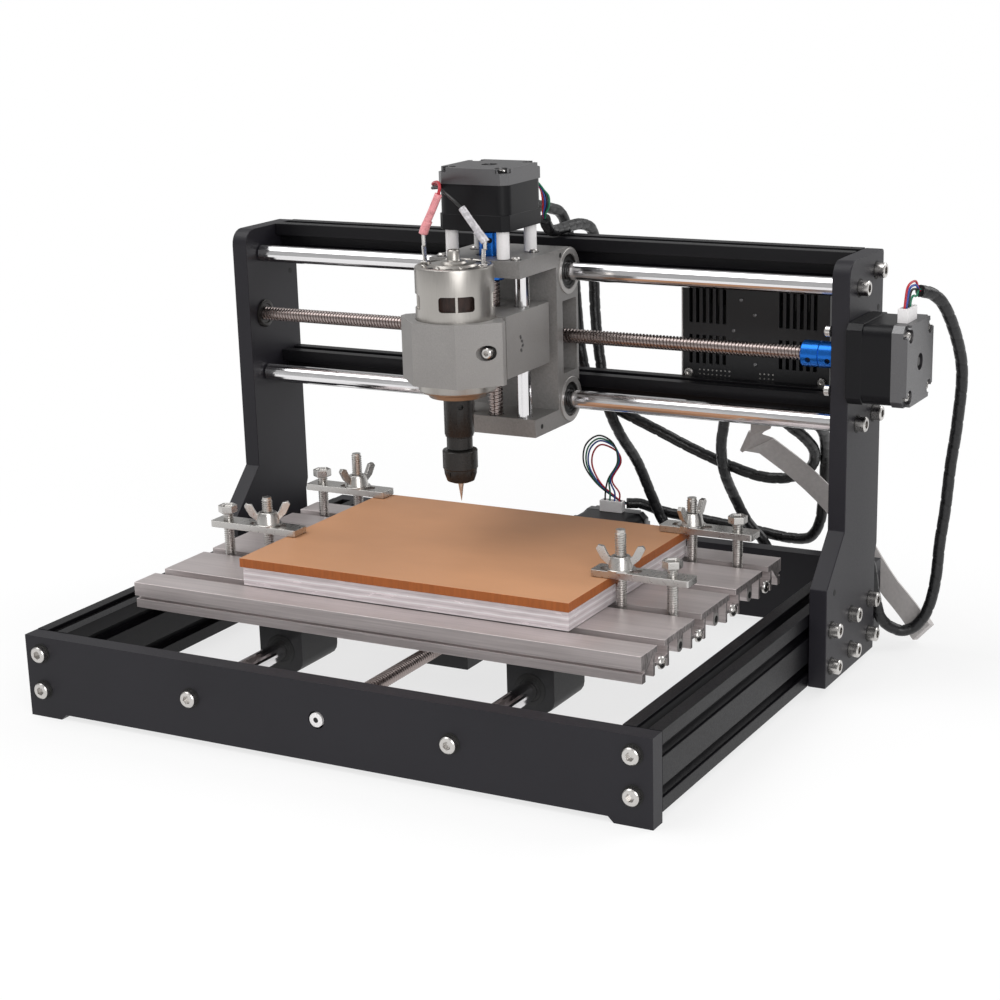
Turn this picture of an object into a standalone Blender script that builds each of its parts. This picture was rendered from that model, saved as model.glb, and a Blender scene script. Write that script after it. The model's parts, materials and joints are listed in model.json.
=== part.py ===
"""Desktop gantry router for wood and plastics: frame, bed, carriage, spindle and their drives.

Sizes are in millimetres here and become metres when a mesh is made. While the pieces are
being placed, x = 0 is the machine's middle plane, y = 0 the front plate's front face and
z = 0 the floor. ORIGIN then moves the whole machine over the middle of its own footprint.
"""

import math

import bmesh
import bpy
from mathutils import Matrix, Vector

MM = 0.001
GAP = 0.3
SQUARE_MOTOR = 42.3
MOTOR_CHAMFER = 4.0

# Base frame
HALF_WIDTH = 181.0
BASE_DEPTH = 310.0
PLATE = 10.0
PLATE_TOP = 44.7
FOOT_WIDTH = 20.0
FOOT_DROP = 3.0
RAIL_BOTTOM = 5.0
RAIL_TOP = 45.0
PROFILE = 20.0
SLOT_NECK = 3.1
SLOT_ROOM = 5.4
SLOT_LIP = 1.9
SLOT_DEPTH = 6.0

# Gantry
UPRIGHT_FRONT_LOW = 194.8
UPRIGHT_FRONT_HIGH = 220.5
UPRIGHT_BACK_LOW = 270.0
UPRIGHT_BACK_HIGH = 272.5
UPRIGHT_TOP = 226.3
BEAM_Y = 261.3
BEAM_Z = (140.1, 216.5)
X_ROD_Y = 236.0
X_ROD_Z = (139.4, 211.0)
X_SCREW_Z = 175.0
ROD_RADIUS = 5.0
SCREW_RADIUS = 4.0

# Bed drive
Y_ROD_X = 75.6
Y_ROD_Z = 25.2

# Bed
BED_HALF_LENGTH = 150.0
BED_FRONT = 54.6
BED_BACK = 234.6
BED_TOP = 61.8
BED_BOTTOM = 47.4
SLOT_PITCH = 44.7
BED_SLOTS = tuple(144.6 + SLOT_PITCH * step for step in (-1.5, -0.5, 0.5, 1.5))
BLOCK_FRONT_Y = (81.3, 172.9)
BLOCK_LENGTH = 35.0

# Work held on the bed
SLAB = (-91.5, 102.0, 73.5, 216.0, 62.1, 72.0)
BOARD = (-92.5, 103.0, 72.0, 217.0, 72.3, 77.3)
BAR_BOTTOM = 77.6
BAR_TOP = 81.2
BAR_HALF_WIDTH = 6.2
STUD_RADIUS = 2.9

# Carriage, Z drive and spindle
CARRIAGE_X = -4.6
CARRIAGE_HALF = 27.6
Z_AXIS_Y = 199.0
SPINDLE_Y = 157.6
Z_ROD_OFFSET = 18.0
Z_ROD_RADIUS = 4.0
FLANGE_LOW = (126.1, 136.0)
FLANGE_HIGH = (215.2, 224.3)
MOUNT_Z = (163.4, 196.9)
CAN_RADIUS = 21.0
Z_MOTOR_Z = (239.5, 272.3)

# Middle of the footprint: side screw head to X motor, front screw head to Y motor
X_MOTOR_END = 224.0
Y_MOTOR_END = 344.3
SIDE_HEAD = 194.8
FRONT_HEAD = -3.8
ORIGIN = Vector(((X_MOTOR_END - SIDE_HEAD) / 2, (Y_MOTOR_END + FRONT_HEAD) / 2, 0.0))

BLACK_PAINT = ((0.022, 0.021, 0.024), 0.42, 0.3)
BLACK_PLASTIC = ((0.015, 0.015, 0.017), 0.55, 0.0)
DARK_STEEL = ((0.05, 0.048, 0.047), 0.35, 0.9)
CHROME = ((0.78, 0.77, 0.78), 0.12, 1.0)
STEEL = ((0.58, 0.56, 0.54), 0.3, 1.0)
NICKEL = ((0.62, 0.6, 0.57), 0.32, 1.0)
BED_METAL = ((0.42, 0.38, 0.37), 0.38, 0.85)
CAST_METAL = ((0.3, 0.29, 0.275), 0.5, 0.6)
BLUE_METAL = ((0.02, 0.1, 0.42), 0.28, 0.9)
NYLON = ((0.83, 0.8, 0.8), 0.5, 0.0)
BOARD_TAN = ((0.58, 0.31, 0.18), 0.5, 0.0)
SLAB_CLEAR = ((0.82, 0.74, 0.76), 0.3, 0.0)
CABLE_BLACK = ((0.012, 0.012, 0.013), 0.5, 0.0)
RIBBON_GREY = ((0.42, 0.41, 0.42), 0.6, 0.0)


def clear_scene():
    """Remove every object that the scene starts with."""
    for obj in list(bpy.data.objects):
        bpy.data.objects.remove(obj, do_unlink=True)


def material(name, look):
    """A Principled material with a colour, a roughness and a metallic value."""
    colour, roughness, metallic = look
    made = bpy.data.materials.new(name)
    made.use_nodes = True
    shader = made.node_tree.nodes["Principled BSDF"]
    shader.inputs["Base Color"].default_value = (*colour, 1.0)
    shader.inputs["Roughness"].default_value = roughness
    shader.inputs["Metallic"].default_value = metallic
    made.diffuse_color = (*colour, 1.0)
    return made


def finish_mesh(name, bm, look, origin=(0.0, 0.0, 0.0), smooth=True):
    """Turn a mesh drawn in millimetres into a named object whose origin is at the given point."""
    bmesh.ops.recalc_face_normals(bm, faces=bm.faces)
    start = Vector(origin)
    for vert in bm.verts:
        vert.co = (vert.co - start) * MM
    mesh = bpy.data.meshes.new(name)
    bm.to_mesh(mesh)
    bm.free()
    obj = bpy.data.objects.new(name, mesh)
    obj.location = (start - ORIGIN) * MM
    bpy.context.scene.collection.objects.link(obj)
    if look is not None:
        mesh.materials.append(material(name + "_finish", look))
    if smooth:
        mesh.shade_smooth()
        mesh.set_sharp_from_angle(angle=math.radians(32))
    return obj


def point(axis, across, along):
    """A point from two coordinates across an axis and one along it."""
    if axis == "x":
        return Vector((along, across[0], across[1]))
    if axis == "y":
        return Vector((across[0], along, across[1]))
    return Vector((across[0], across[1], along))


def add_prism(bm, outline, axis, start, end):
    """Extrude a closed outline along an axis."""
    low = [bm.verts.new(point(axis, corner, start)) for corner in outline]
    high = [bm.verts.new(point(axis, corner, end)) for corner in outline]
    bm.faces.new(low)
    bm.faces.new(high)
    count = len(outline)
    for index in range(count):
        after = (index + 1) % count
        bm.faces.new((low[index], low[after], high[after], high[index]))


def add_turned(bm, profile, axis, centre, segments=24):
    """Turn a closed half profile of (radius, height) points about an axis through a centre."""
    rings = []
    for radius, height in profile:
        if radius < 1e-6:
            rings.append([bm.verts.new(point(axis, centre, height))])
            continue
        ring = []
        for step in range(segments):
            angle = 2 * math.pi * step / segments
            across = (centre[0] + radius * math.cos(angle), centre[1] + radius * math.sin(angle))
            ring.append(bm.verts.new(point(axis, across, height)))
        rings.append(ring)
    pairs = list(zip(rings, rings[1:]))
    if profile[0][0] > 1e-6 and profile[-1][0] > 1e-6:
        pairs.append((rings[-1], rings[0]))
    for one, two in pairs:
        if len(one) == 1 and len(two) == 1:
            continue
        for step in range(segments):
            after = (step + 1) % segments
            if len(one) == 1:
                bm.faces.new((one[0], two[step], two[after]))
            elif len(two) == 1:
                bm.faces.new((one[step], two[0], one[after]))
            else:
                bm.faces.new((one[step], one[after], two[after], two[step]))


def prism(name, outline, axis, start, end, look, origin=(0.0, 0.0, 0.0)):
    """One extruded piece."""
    bm = bmesh.new()
    add_prism(bm, outline, axis, start, end)
    return finish_mesh(name, bm, look, origin)


def turned(name, profile, axis, centre, look, origin=(0.0, 0.0, 0.0), segments=24):
    """One turned piece."""
    bm = bmesh.new()
    add_turned(bm, profile, axis, centre, segments)
    return finish_mesh(name, bm, look, origin)


def rod_profile(radius, start, end, chamfer=0.6):
    """Half profile of a solid round bar with broken edges."""
    return [
        (0.0, start),
        (radius - chamfer, start),
        (radius, start + chamfer),
        (radius, end - chamfer),
        (radius - chamfer, end),
        (0.0, end),
    ]


def block(low, high):
    """Rectangle outline from its low and high corners."""
    return [(low[0], low[1]), (high[0], low[1]), (high[0], high[1]), (low[0], high[1])]


def chamfered_square(centre, width, chamfer):
    """Square outline with its corners cut off."""
    half = width / 2
    inner = half - chamfer
    corners = [
        (-inner, -half),
        (inner, -half),
        (half, -inner),
        (half, inner),
        (inner, half),
        (-inner, half),
        (-half, inner),
        (-half, -inner),
    ]
    return [(centre[0] + across, centre[1] + up) for across, up in corners]


def arc(centre, radius, first, last, steps):
    """Points along an arc, angles in degrees."""
    found = []
    for step in range(steps + 1):
        angle = math.radians(first + (last - first) * step / steps)
        found.append((centre[0] + radius * math.cos(angle), centre[1] + radius * math.sin(angle)))
    return found


def helper(name, bm):
    """A hidden tool body for a Boolean."""
    obj = finish_mesh(name, bm, None, smooth=False)
    obj.hide_render = True
    obj.display_type = "WIRE"
    return obj


def boolean(obj, tool, operation):
    """Cut or join a hidden tool body with the exact solver."""
    change = obj.modifiers.new(tool.name, "BOOLEAN")
    change.object = tool
    change.operation = operation
    change.solver = "EXACT"


def bore(axis, centre, *steps):
    """A round hole of one or more steps, each (radius, start, end), along one axis."""
    profile = [(0.0, steps[0][1])]
    for radius, start, end in steps:
        profile += [(radius, start), (radius, end)]
    profile.append((0.0, steps[-1][2]))
    return axis, centre, profile


def drill(obj, bores, segments=24, tag="_drill"):
    """Cut round holes that don't touch each other."""
    bm = bmesh.new()
    for axis, centre, profile in bores:
        add_turned(bm, profile, axis, centre, segments)
    boolean(obj, helper(obj.name + tag, bm), "DIFFERENCE")


def carve(obj, boxes, tag="_pocket"):
    """Cut box pockets, each given as (x0, x1, y0, y1, z0, z1)."""
    bm = bmesh.new()
    for x0, x1, y0, y1, z0, z1 in boxes:
        add_prism(bm, block((x0, y0), (x1, y1)), "z", z0, z1)
    boolean(obj, helper(obj.name + tag, bm), "DIFFERENCE")


def smooth_path(route, spacing):
    """Points read at about even spacing from a centripetal Catmull-Rom curve through the route."""
    knots = [Vector(place) for place in route]
    knots = [knots[0] * 2 - knots[1]] + knots + [knots[-1] * 2 - knots[-2]]
    fine = []
    for index in range(1, len(knots) - 2):
        p0, p1, p2, p3 = knots[index - 1 : index + 3]
        t1 = max((p1 - p0).length, 1e-6) ** 0.5
        t2 = t1 + max((p2 - p1).length, 1e-6) ** 0.5
        t3 = t2 + max((p3 - p2).length, 1e-6) ** 0.5
        for step in range(16):
            t = t1 + (t2 - t1) * step / 16
            a1 = p0 * ((t1 - t) / t1) + p1 * (t / t1)
            a2 = p1 * ((t2 - t) / (t2 - t1)) + p2 * ((t - t1) / (t2 - t1))
            a3 = p2 * ((t3 - t) / (t3 - t2)) + p3 * ((t - t2) / (t3 - t2))
            b1 = a1 * ((t2 - t) / t2) + a2 * (t / t2)
            b2 = a2 * ((t3 - t) / (t3 - t1)) + a3 * ((t - t1) / (t3 - t1))
            fine.append(b1 * ((t2 - t) / (t2 - t1)) + b2 * ((t - t1) / (t2 - t1)))
    fine.append(knots[-2])
    lengths = [0.0]
    for one, two in zip(fine, fine[1:]):
        lengths.append(lengths[-1] + (two - one).length)
    count = max(2, round(lengths[-1] / spacing))
    found = []
    index = 0
    for step in range(count + 1):
        wanted = lengths[-1] * step / count
        while index < len(fine) - 2 and lengths[index + 1] < wanted:
            index += 1
        share = (wanted - lengths[index]) / max(lengths[index + 1] - lengths[index], 1e-9)
        found.append(fine[index].lerp(fine[index + 1], share))
    return found


def cable(name, route, diameter, look):
    """A round cable along a smooth path through the route's points, ending in a straight stub."""
    curve = bpy.data.curves.new(name, "CURVE")
    curve.dimensions = "3D"
    curve.bevel_depth = diameter / 2 * MM
    curve.bevel_resolution = 2
    curve.use_fill_caps = True
    points = smooth_path(route[:-1], diameter * 2.0) + [Vector(route[-1])]
    spline = curve.splines.new("POLY")
    spline.points.add(len(points) - 1)
    for slot, place in zip(spline.points, points):
        slot.co = (*((place - ORIGIN) * MM), 1.0)
    obj = bpy.data.objects.new(name, curve)
    bpy.context.scene.collection.objects.link(obj)
    curve.materials.append(material(name + "_finish", look))
    return obj


def base_plate(name, start, centre_hole):
    """Front or rear plate with two low feet, two rod screw holes and a middle hole."""
    inner = HALF_WIDTH - FOOT_WIDTH
    outline = [
        (-HALF_WIDTH, 0.0),
        (-inner, 0.0),
        (-inner + FOOT_DROP, FOOT_DROP),
        (inner - FOOT_DROP, FOOT_DROP),
        (inner, 0.0),
        (HALF_WIDTH, 0.0),
        (HALF_WIDTH, PLATE_TOP),
        (-HALF_WIDTH, PLATE_TOP),
    ]
    plate = prism(name, outline, "y", start, start + PLATE, BLACK_PAINT)
    near = start - 1
    far = start + PLATE + 1
    holes = [bore("y", (side * Y_ROD_X, Y_ROD_Z), (2.9, near, far)) for side in (-1, 1)]
    holes.append(bore("y", (0.0, Y_ROD_Z), (centre_hole, near, far)))
    drill(plate, holes)


def slot_run(middle):
    """One T-slot of an aluminium profile, as (along the face, depth) steps from left to right."""
    return [
        (middle - SLOT_NECK, 0.0),
        (middle - SLOT_NECK, SLOT_LIP),
        (middle - SLOT_ROOM, SLOT_LIP),
        (middle - SLOT_ROOM + 2.6, SLOT_DEPTH),
        (middle + SLOT_ROOM - 2.6, SLOT_DEPTH),
        (middle + SLOT_ROOM, SLOT_LIP),
        (middle + SLOT_NECK, SLOT_LIP),
        (middle + SLOT_NECK, 0.0),
    ]


def profile_outline(low, width, height):
    """Outline of a slotted aluminium profile: one slot for each 20 mm of every face."""
    outline = []
    for start in range(0, int(width), int(PROFILE)):
        outline += [(low[0] + run, low[1] + deep) for run, deep in slot_run(start + PROFILE / 2)]
    outline.append((low[0] + width, low[1]))
    for start in range(0, int(height), int(PROFILE)):
        steps = slot_run(start + PROFILE / 2)
        outline += [(low[0] + width - deep, low[1] + run) for run, deep in steps]
    outline.append((low[0] + width, low[1] + height))
    for start in range(0, int(width), int(PROFILE)):
        steps = slot_run(start + PROFILE / 2)
        outline += [(low[0] + width - run, low[1] + height - deep) for run, deep in steps]
    outline.append((low[0], low[1] + height))
    for start in range(0, int(height), int(PROFILE)):
        steps = slot_run(start + PROFILE / 2)
        outline += [(low[0] + deep, low[1] + height - run) for run, deep in steps]
    outline.append((low[0], low[1]))
    return outline


def base_frame():
    """Two end plates and two side rails."""
    base_plate("front_plate", 0.0, 4.6)
    base_plate("rear_plate", BASE_DEPTH - PLATE, 11.4)
    for name, left in (("side_rail_left", -HALF_WIDTH), ("side_rail_right", HALF_WIDTH - PROFILE)):
        outline = profile_outline((left, RAIL_BOTTOM), PROFILE, RAIL_TOP - RAIL_BOTTOM)
        prism(name, outline, "y", PLATE + GAP, BASE_DEPTH - PLATE - GAP, BLACK_PAINT)


def uprights():
    """The two gantry side plates, bolted to the outside of the rails."""
    outline = [
        (UPRIGHT_FRONT_LOW, RAIL_BOTTOM),
        (UPRIGHT_BACK_LOW, RAIL_BOTTOM),
        (UPRIGHT_BACK_LOW, 59.0),
        (UPRIGHT_BACK_HIGH, 65.0),
    ]
    outline += arc((UPRIGHT_BACK_HIGH - 2.0, UPRIGHT_TOP - 2.0), 2.0, 0, 90, 3)
    outline += arc((UPRIGHT_FRONT_HIGH + 9.0, UPRIGHT_TOP - 9.0), 9.0, 90, 180, 6)
    outline += [(UPRIGHT_FRONT_HIGH, 84.5), (UPRIGHT_FRONT_LOW, 59.0)]
    inner = HALF_WIDTH + GAP
    outer = HALF_WIDTH + PLATE
    left = prism("upright_left", outline, "x", -outer, -inner, BLACK_PAINT)
    right = prism("upright_right", outline, "x", inner, outer, BLACK_PAINT)
    near = -outer - 1
    far = -inner + 1
    bearing = bore("x", (X_ROD_Y, X_SCREW_Z), (4.6, near, far))
    drill(left, [bearing, bore("x", (BEAM_Y, BEAM_Z[1]), (2.9, near, far))])
    drill(right, [bore("x", (X_ROD_Y, X_SCREW_Z), (11.4, inner - 1, outer + 1))])


def gantry_beams_and_rods():
    """Cross beams and the polished rods of the X and Y axes."""
    for name, middle in zip(("cross_beam_lower", "cross_beam_upper"), BEAM_Z):
        outline = profile_outline((BEAM_Y - PROFILE / 2, middle - PROFILE / 2), PROFILE, PROFILE)
        prism(name, outline, "x", -HALF_WIDTH, HALF_WIDTH, BLACK_PAINT)
    for name, height in zip(("x_rod_lower", "x_rod_upper"), X_ROD_Z):
        turned(name, rod_profile(ROD_RADIUS, -HALF_WIDTH, HALF_WIDTH), "x", (X_ROD_Y, height), CHROME)
    near = PLATE + GAP
    far = BASE_DEPTH - PLATE - GAP
    for name, side in (("y_rod_left", -Y_ROD_X), ("y_rod_right", Y_ROD_X)):
        turned(name, rod_profile(ROD_RADIUS, near, far), "y", (side, Y_ROD_Z), CHROME)


def stepper(name, axis, centre, near, far, boss_end, look):
    """Square stepper motor from its mounting face to its rear cap, with the locating boss."""
    body = prism(name, chamfered_square(centre, SQUARE_MOTOR, MOTOR_CHAMFER), axis, near, far, look)
    bm = bmesh.new()
    inside = near + (1.0 if far > near else -1.0)
    add_turned(bm, [(0.0, boss_end), (11.0, boss_end), (11.0, inside), (0.0, inside)], axis, centre)
    boolean(body, helper(name + "_boss", bm), "UNION")
    return body


def frame_motors():
    """X motor outside the right upright and Y motor behind the rear plate."""
    face = HALF_WIDTH + PLATE + GAP
    stepper("x_motor", "x", (X_ROD_Y, X_SCREW_Z), face, X_MOTOR_END, face - 2.0, BLACK_PLASTIC)
    back = BASE_DEPTH + GAP
    stepper("y_motor", "y", (0.0, Y_ROD_Z), back, Y_MOTOR_END, back - 2.0, BLACK_PLASTIC)


def controller():
    """Vented controller case on the back of the beams, open at the bottom for its cables."""
    low = (75.0, 272.8, 134.0)
    high = (161.5, 298.0, 222.0)
    case = prism("controller_case", block(low[:2], high[:2]), "z", low[2], high[2], BLACK_PLASTIC)
    wall = 2.2
    room = (low[0] + wall, high[0] - wall, low[1] + wall, high[1] - wall, low[2] + wall, high[2] - wall)
    cuts = [room, (low[0] + 9, high[0] - 12.5, low[1] + 8, high[1] - 5, low[2] - 1, low[2] + wall + 1)]
    carve(case, cuts)
    slots = []
    for first in (79.0, 132.4):
        for step in range(6):
            left = first + step * 4.0
            for bottom, top in ((157.0, 173.0), (180.0, 204.0)):
                slots.append((left, left + 1.9, low[1] - 1, low[1] + wall + 1, bottom, top))
    carve(case, slots, "_vent")


def frame_screws():
    """The two fasteners that set the machine's overall width and depth."""
    front = [(0.0, FRONT_HEAD), (4.0, FRONT_HEAD), (4.75, FRONT_HEAD + 0.7), (4.75, -GAP)]
    front += [(2.55, -GAP), (2.55, PLATE - GAP), (0.0, PLATE - GAP)]
    turned("front_rod_screw", front, "y", (Y_ROD_X, Y_ROD_Z), STEEL)
    outer = HALF_WIDTH + PLATE + GAP
    side = [(0.0, -SIDE_HEAD), (4.0, -SIDE_HEAD), (4.75, -SIDE_HEAD + 0.7), (4.75, -outer)]
    side += [(2.55, -outer), (2.55, -HALF_WIDTH - 0.8), (0.0, -HALF_WIDTH - 0.8)]
    turned("side_beam_screw", side, "x", (BEAM_Y, BEAM_Z[1]), STEEL)


def bed_outline():
    """Section of the bed in (y, z): four T-slots in the top, open ribs below."""
    neck = 4.2
    room = 7.2
    leg = 9.4
    under_lip = BED_TOP - 3.4
    floor = 53.8
    outline = [(BED_FRONT + 1.0, BED_BOTTOM), (BED_FRONT + 5.0, BED_BOTTOM), (BED_FRONT + 5.0, 51.0)]
    for index, middle in enumerate(BED_SLOTS):
        outline += [(middle - leg, under_lip), (middle - leg, BED_BOTTOM), (middle - room, BED_BOTTOM)]
        outline += [(middle - room, floor - 2.0), (middle + room, floor - 2.0)]
        outline += [(middle + room, BED_BOTTOM), (middle + leg, BED_BOTTOM), (middle + leg, under_lip)]
        if index < 3:
            port = middle + SLOT_PITCH / 2
            outline += [(port - 3.6, under_lip), (port - 3.6, 53.6)]
            outline += arc((port, 53.6), 3.6, 180, 360, 6)[1:-1]
            outline += [(port + 3.6, 53.6), (port + 3.6, under_lip)]
    outline += [(BED_BACK - 5.0, 51.0), (BED_BACK - 5.0, BED_BOTTOM), (BED_BACK - 1.0, BED_BOTTOM)]
    outline += [(BED_BACK - 1.0, 52.4), (BED_BACK - 3.6, 52.4), (BED_BACK - 3.6, 54.2)]
    outline += [(BED_BACK, 54.2), (BED_BACK, BED_TOP)]
    for middle in reversed(BED_SLOTS):
        outline += [(middle + neck, BED_TOP), (middle + neck, under_lip), (middle + room, under_lip)]
        outline += [(middle + room, floor), (middle - room, floor)]
        outline += [(middle - room, under_lip), (middle - neck, under_lip), (middle - neck, BED_TOP)]
    outline += [(BED_FRONT, BED_TOP), (BED_FRONT, 54.2), (BED_FRONT + 3.6, 54.2)]
    outline += [(BED_FRONT + 3.6, 52.4), (BED_FRONT + 1.0, 52.4)]
    return outline


def bed():
    """T-slot bed with its four linear bearing blocks and the lead screw's nut block."""
    prism("table", bed_outline(), "x", -BED_HALF_LENGTH, BED_HALF_LENGTH, BED_METAL)
    top = BED_BOTTOM - GAP
    for end, start in zip(("front", "rear"), BLOCK_FRONT_Y):
        for side, middle in (("left", -Y_ROD_X), ("right", Y_ROD_X)):
            outline = [(middle - 13.5, top), (middle - 13.5, 21.5)]
            outline += arc((middle - 6.5, 20.5), 7.0, 180, 270, 4)
            outline += arc((middle + 6.5, 20.5), 7.0, 270, 360, 4)
            outline += [(middle + 13.5, top)]
            name = "slide_block_" + end + "_" + side
            made = prism(name, outline, "y", start, start + BLOCK_LENGTH, BLACK_PLASTIC)
            end_y = start + BLOCK_LENGTH + 1
            drill(made, [bore("y", (middle, Y_ROD_Z), (ROD_RADIUS + 0.35, start - 1, end_y))])
    outline = block((-15.0, 13.0), (15.0, top))
    nut = prism("y_nut_block", outline, "y", 124.0, 152.0, BLACK_PLASTIC)
    drill(nut, [bore("y", (0.0, Y_ROD_Z), (SCREW_RADIUS + 0.35, 123.0, 153.0))])


def work():
    """Engraved board on its translucent backing slab."""
    x0, x1, y0, y1, z0, z1 = SLAB
    prism("spoil_slab", block((x0, y0), (x1, y1)), "z", z0, z1, SLAB_CLEAR)
    x0, x1, y0, y1, z0, z1 = BOARD
    prism("workpiece_board", block((x0, y0), (x1, y1)), "z", z0, z1, BOARD_TAN)


def clamp_stud(name, across, along, top):
    """Stud standing in a T-slot by its round head."""
    profile = [(0.0, 54.2), (6.4, 54.2), (6.4, 57.9), (STUD_RADIUS, 57.9)]
    profile += [(STUD_RADIUS, top - 0.6), (STUD_RADIUS - 0.6, top), (0.0, top)]
    turned(name, profile, "z", (across, along), STEEL, segments=20)


def clamp_bar(name, left, right, stud, heel, along):
    """Clamp bar with its long hole and its threaded heel screw, which stands in the T-slot."""
    low = (left, along - BAR_HALF_WIDTH)
    high = (right, along + BAR_HALF_WIDTH)
    made = prism(name, block(low, high), "z", BAR_BOTTOM, BAR_TOP, STEEL)
    bm = bmesh.new()
    ends = arc((stud + 8.0, along), 3.4, -90, 90, 8) + arc((stud - 8.0, along), 3.4, 90, 270, 8)
    add_prism(bm, ends, "z", BAR_BOTTOM - 1, BAR_TOP + 1)
    boolean(made, helper(name + "_slot", bm), "DIFFERENCE")
    bm = bmesh.new()
    shank = [(0.0, 54.2), (2.4, 54.2), (STUD_RADIUS, 54.8), (STUD_RADIUS, 86.0), (0.0, 86.0)]
    add_turned(bm, shank, "z", (heel, along), 20)
    boolean(made, helper(name + "_heel", bm), "UNION")
    bm = bmesh.new()
    head = [(0.0, 85.4), (5.0, 85.4), (5.0, 88.8), (4.3, 89.6), (0.0, 89.6)]
    add_turned(bm, head, "z", (heel, along), 6)
    boolean(made, helper(name + "_head", bm), "UNION")


def wing_nut(name, across, along, turn):
    """Wing nut on a stud, with its origin on the stud's axis."""
    base = BAR_TOP + GAP
    hub = [(3.2, base), (6.6, base), (5.6, base + 5.0), (4.8, base + 7.0), (3.2, base + 7.0)]
    made = turned(name, hub, "z", (across, along), STEEL, origin=(across, along, base), segments=20)
    wing = [(4.2, 1.0), (5.6, 1.6), (10.0, 5.4), (12.6, 10.6), (11.4, 12.4), (8.6, 11.8), (6.0, 6.6), (4.2, 5.8)]
    for side in (0.0, math.pi):
        bm = bmesh.new()
        add_prism(bm, wing, "y", -1.3, 1.3)
        spin = Matrix.Rotation(math.radians(turn) + side, 4, "Z")
        move = Matrix.Translation((across, along, base))
        bmesh.ops.transform(bm, matrix=move @ spin, verts=bm.verts)
        boolean(made, helper(name + "_wing" + str(int(side)), bm), "UNION")


def clamps():
    """Four bar clamps, two in the second T-slot and two in the fourth."""
    front, rear = BED_SLOTS[1], BED_SLOTS[3]
    sets = (
        ("front_right", 93.0, 147.0, 107.4, 136.0, front, 102.5, 15.0),
        ("rear_right", 90.5, 144.5, 107.4, 134.0, rear, 97.0, 80.0),
        ("front_left", -142.5, -86.5, -107.8, -134.5, front, 97.0, 35.0),
        ("rear_left", -138.0, -84.5, -105.6, -130.0, rear, 101.5, 70.0),
    )
    for tag, left, right, stud, heel, along, top, turn in sets:
        clamp_stud("clamp_stud_" + tag, stud, along, top)
        clamp_bar("clamp_bar_" + tag, left, right, stud, heel, along)
        wing_nut("wing_nut_" + tag, stud, along, turn)


def carriage_outline():
    """Side view of the carriage casting in (y, z): two flanges and the two rod bosses."""
    boss = FLANGE_HIGH[1] - X_ROD_Z[1]
    outline = [(178.8, FLANGE_HIGH[0]), (178.8, FLANGE_HIGH[1])]
    outline += arc((X_ROD_Y, X_ROD_Z[1]), boss, 90, -36, 9)
    outline += arc((X_ROD_Y, X_ROD_Z[0]), boss, 36, -90, 9)
    outline += [(192.8, FLANGE_LOW[0]), (192.8, FLANGE_LOW[1])]
    outline += [(221.0, FLANGE_LOW[1]), (221.0, FLANGE_HIGH[0])]
    return outline


def carriage():
    """X carriage casting, Z rods, Z motor and its four standoffs."""
    left = CARRIAGE_X - CARRIAGE_HALF
    right = CARRIAGE_X + CARRIAGE_HALF
    made = prism("x_carriage", carriage_outline(), "x", left, right, CAST_METAL)
    pocket = (227.7, 244.3, 155.0, 195.5)
    carve(made, [(-6.0, right + 1, *pocket), (left - 1, -16.0, *pocket)])
    holes = [bore("x", (X_ROD_Y, X_SCREW_Z), (SCREW_RADIUS + 0.4, -17.0, -5.0))]
    seal = 9.5
    guide = ROD_RADIUS + 0.35
    for height in X_ROD_Z:
        steps = ((seal, left - 1, left + 1.4), (guide, left + 1.4, right - 1.4), (seal, right - 1.4, right + 1))
        holes.append(bore("x", (X_ROD_Y, height), *steps))
    drill(made, holes)
    seats = [bore("z", (CARRIAGE_X, Z_AXIS_Y), (8.4, FLANGE_HIGH[0] - 1, FLANGE_HIGH[1] + 1))]
    seats.append(bore("z", (CARRIAGE_X, Z_AXIS_Y), (4.5, 130.0, FLANGE_LOW[1] + 1)))
    for side in (-1, 1):
        middle = (CARRIAGE_X + side * Z_ROD_OFFSET, Z_AXIS_Y)
        seats.append(bore("z", middle, (Z_ROD_RADIUS + GAP, 130.0, FLANGE_LOW[1] + 1)))
        seats.append(bore("z", middle, (Z_ROD_RADIUS + GAP, FLANGE_HIGH[0] - 1, 221.0)))
    drill(made, seats, tag="_seats")
    for name, side in (("z_rod_left", -1), ("z_rod_right", 1)):
        middle = (CARRIAGE_X + side * Z_ROD_OFFSET, Z_AXIS_Y)
        turned(name, rod_profile(Z_ROD_RADIUS, 130.4, 220.6), "z", middle, CHROME)
    near, far = Z_MOTOR_Z
    stepper("z_motor", "z", (CARRIAGE_X, Z_AXIS_Y), near, far, near - 1.8, BLACK_PLASTIC)
    for row, along in (("front", -15.5), ("rear", 15.5)):
        for side, across in (("left", -15.5), ("right", 15.5)):
            post = [(1.7, FLANGE_HIGH[1] + GAP), (3.5, FLANGE_HIGH[1] + GAP), (3.5, near - GAP), (1.7, near - GAP)]
            middle = (CARRIAGE_X + across, Z_AXIS_Y + along)
            turned("standoff_" + row + "_" + side, post, "z", middle, NYLON, segments=20)


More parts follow.
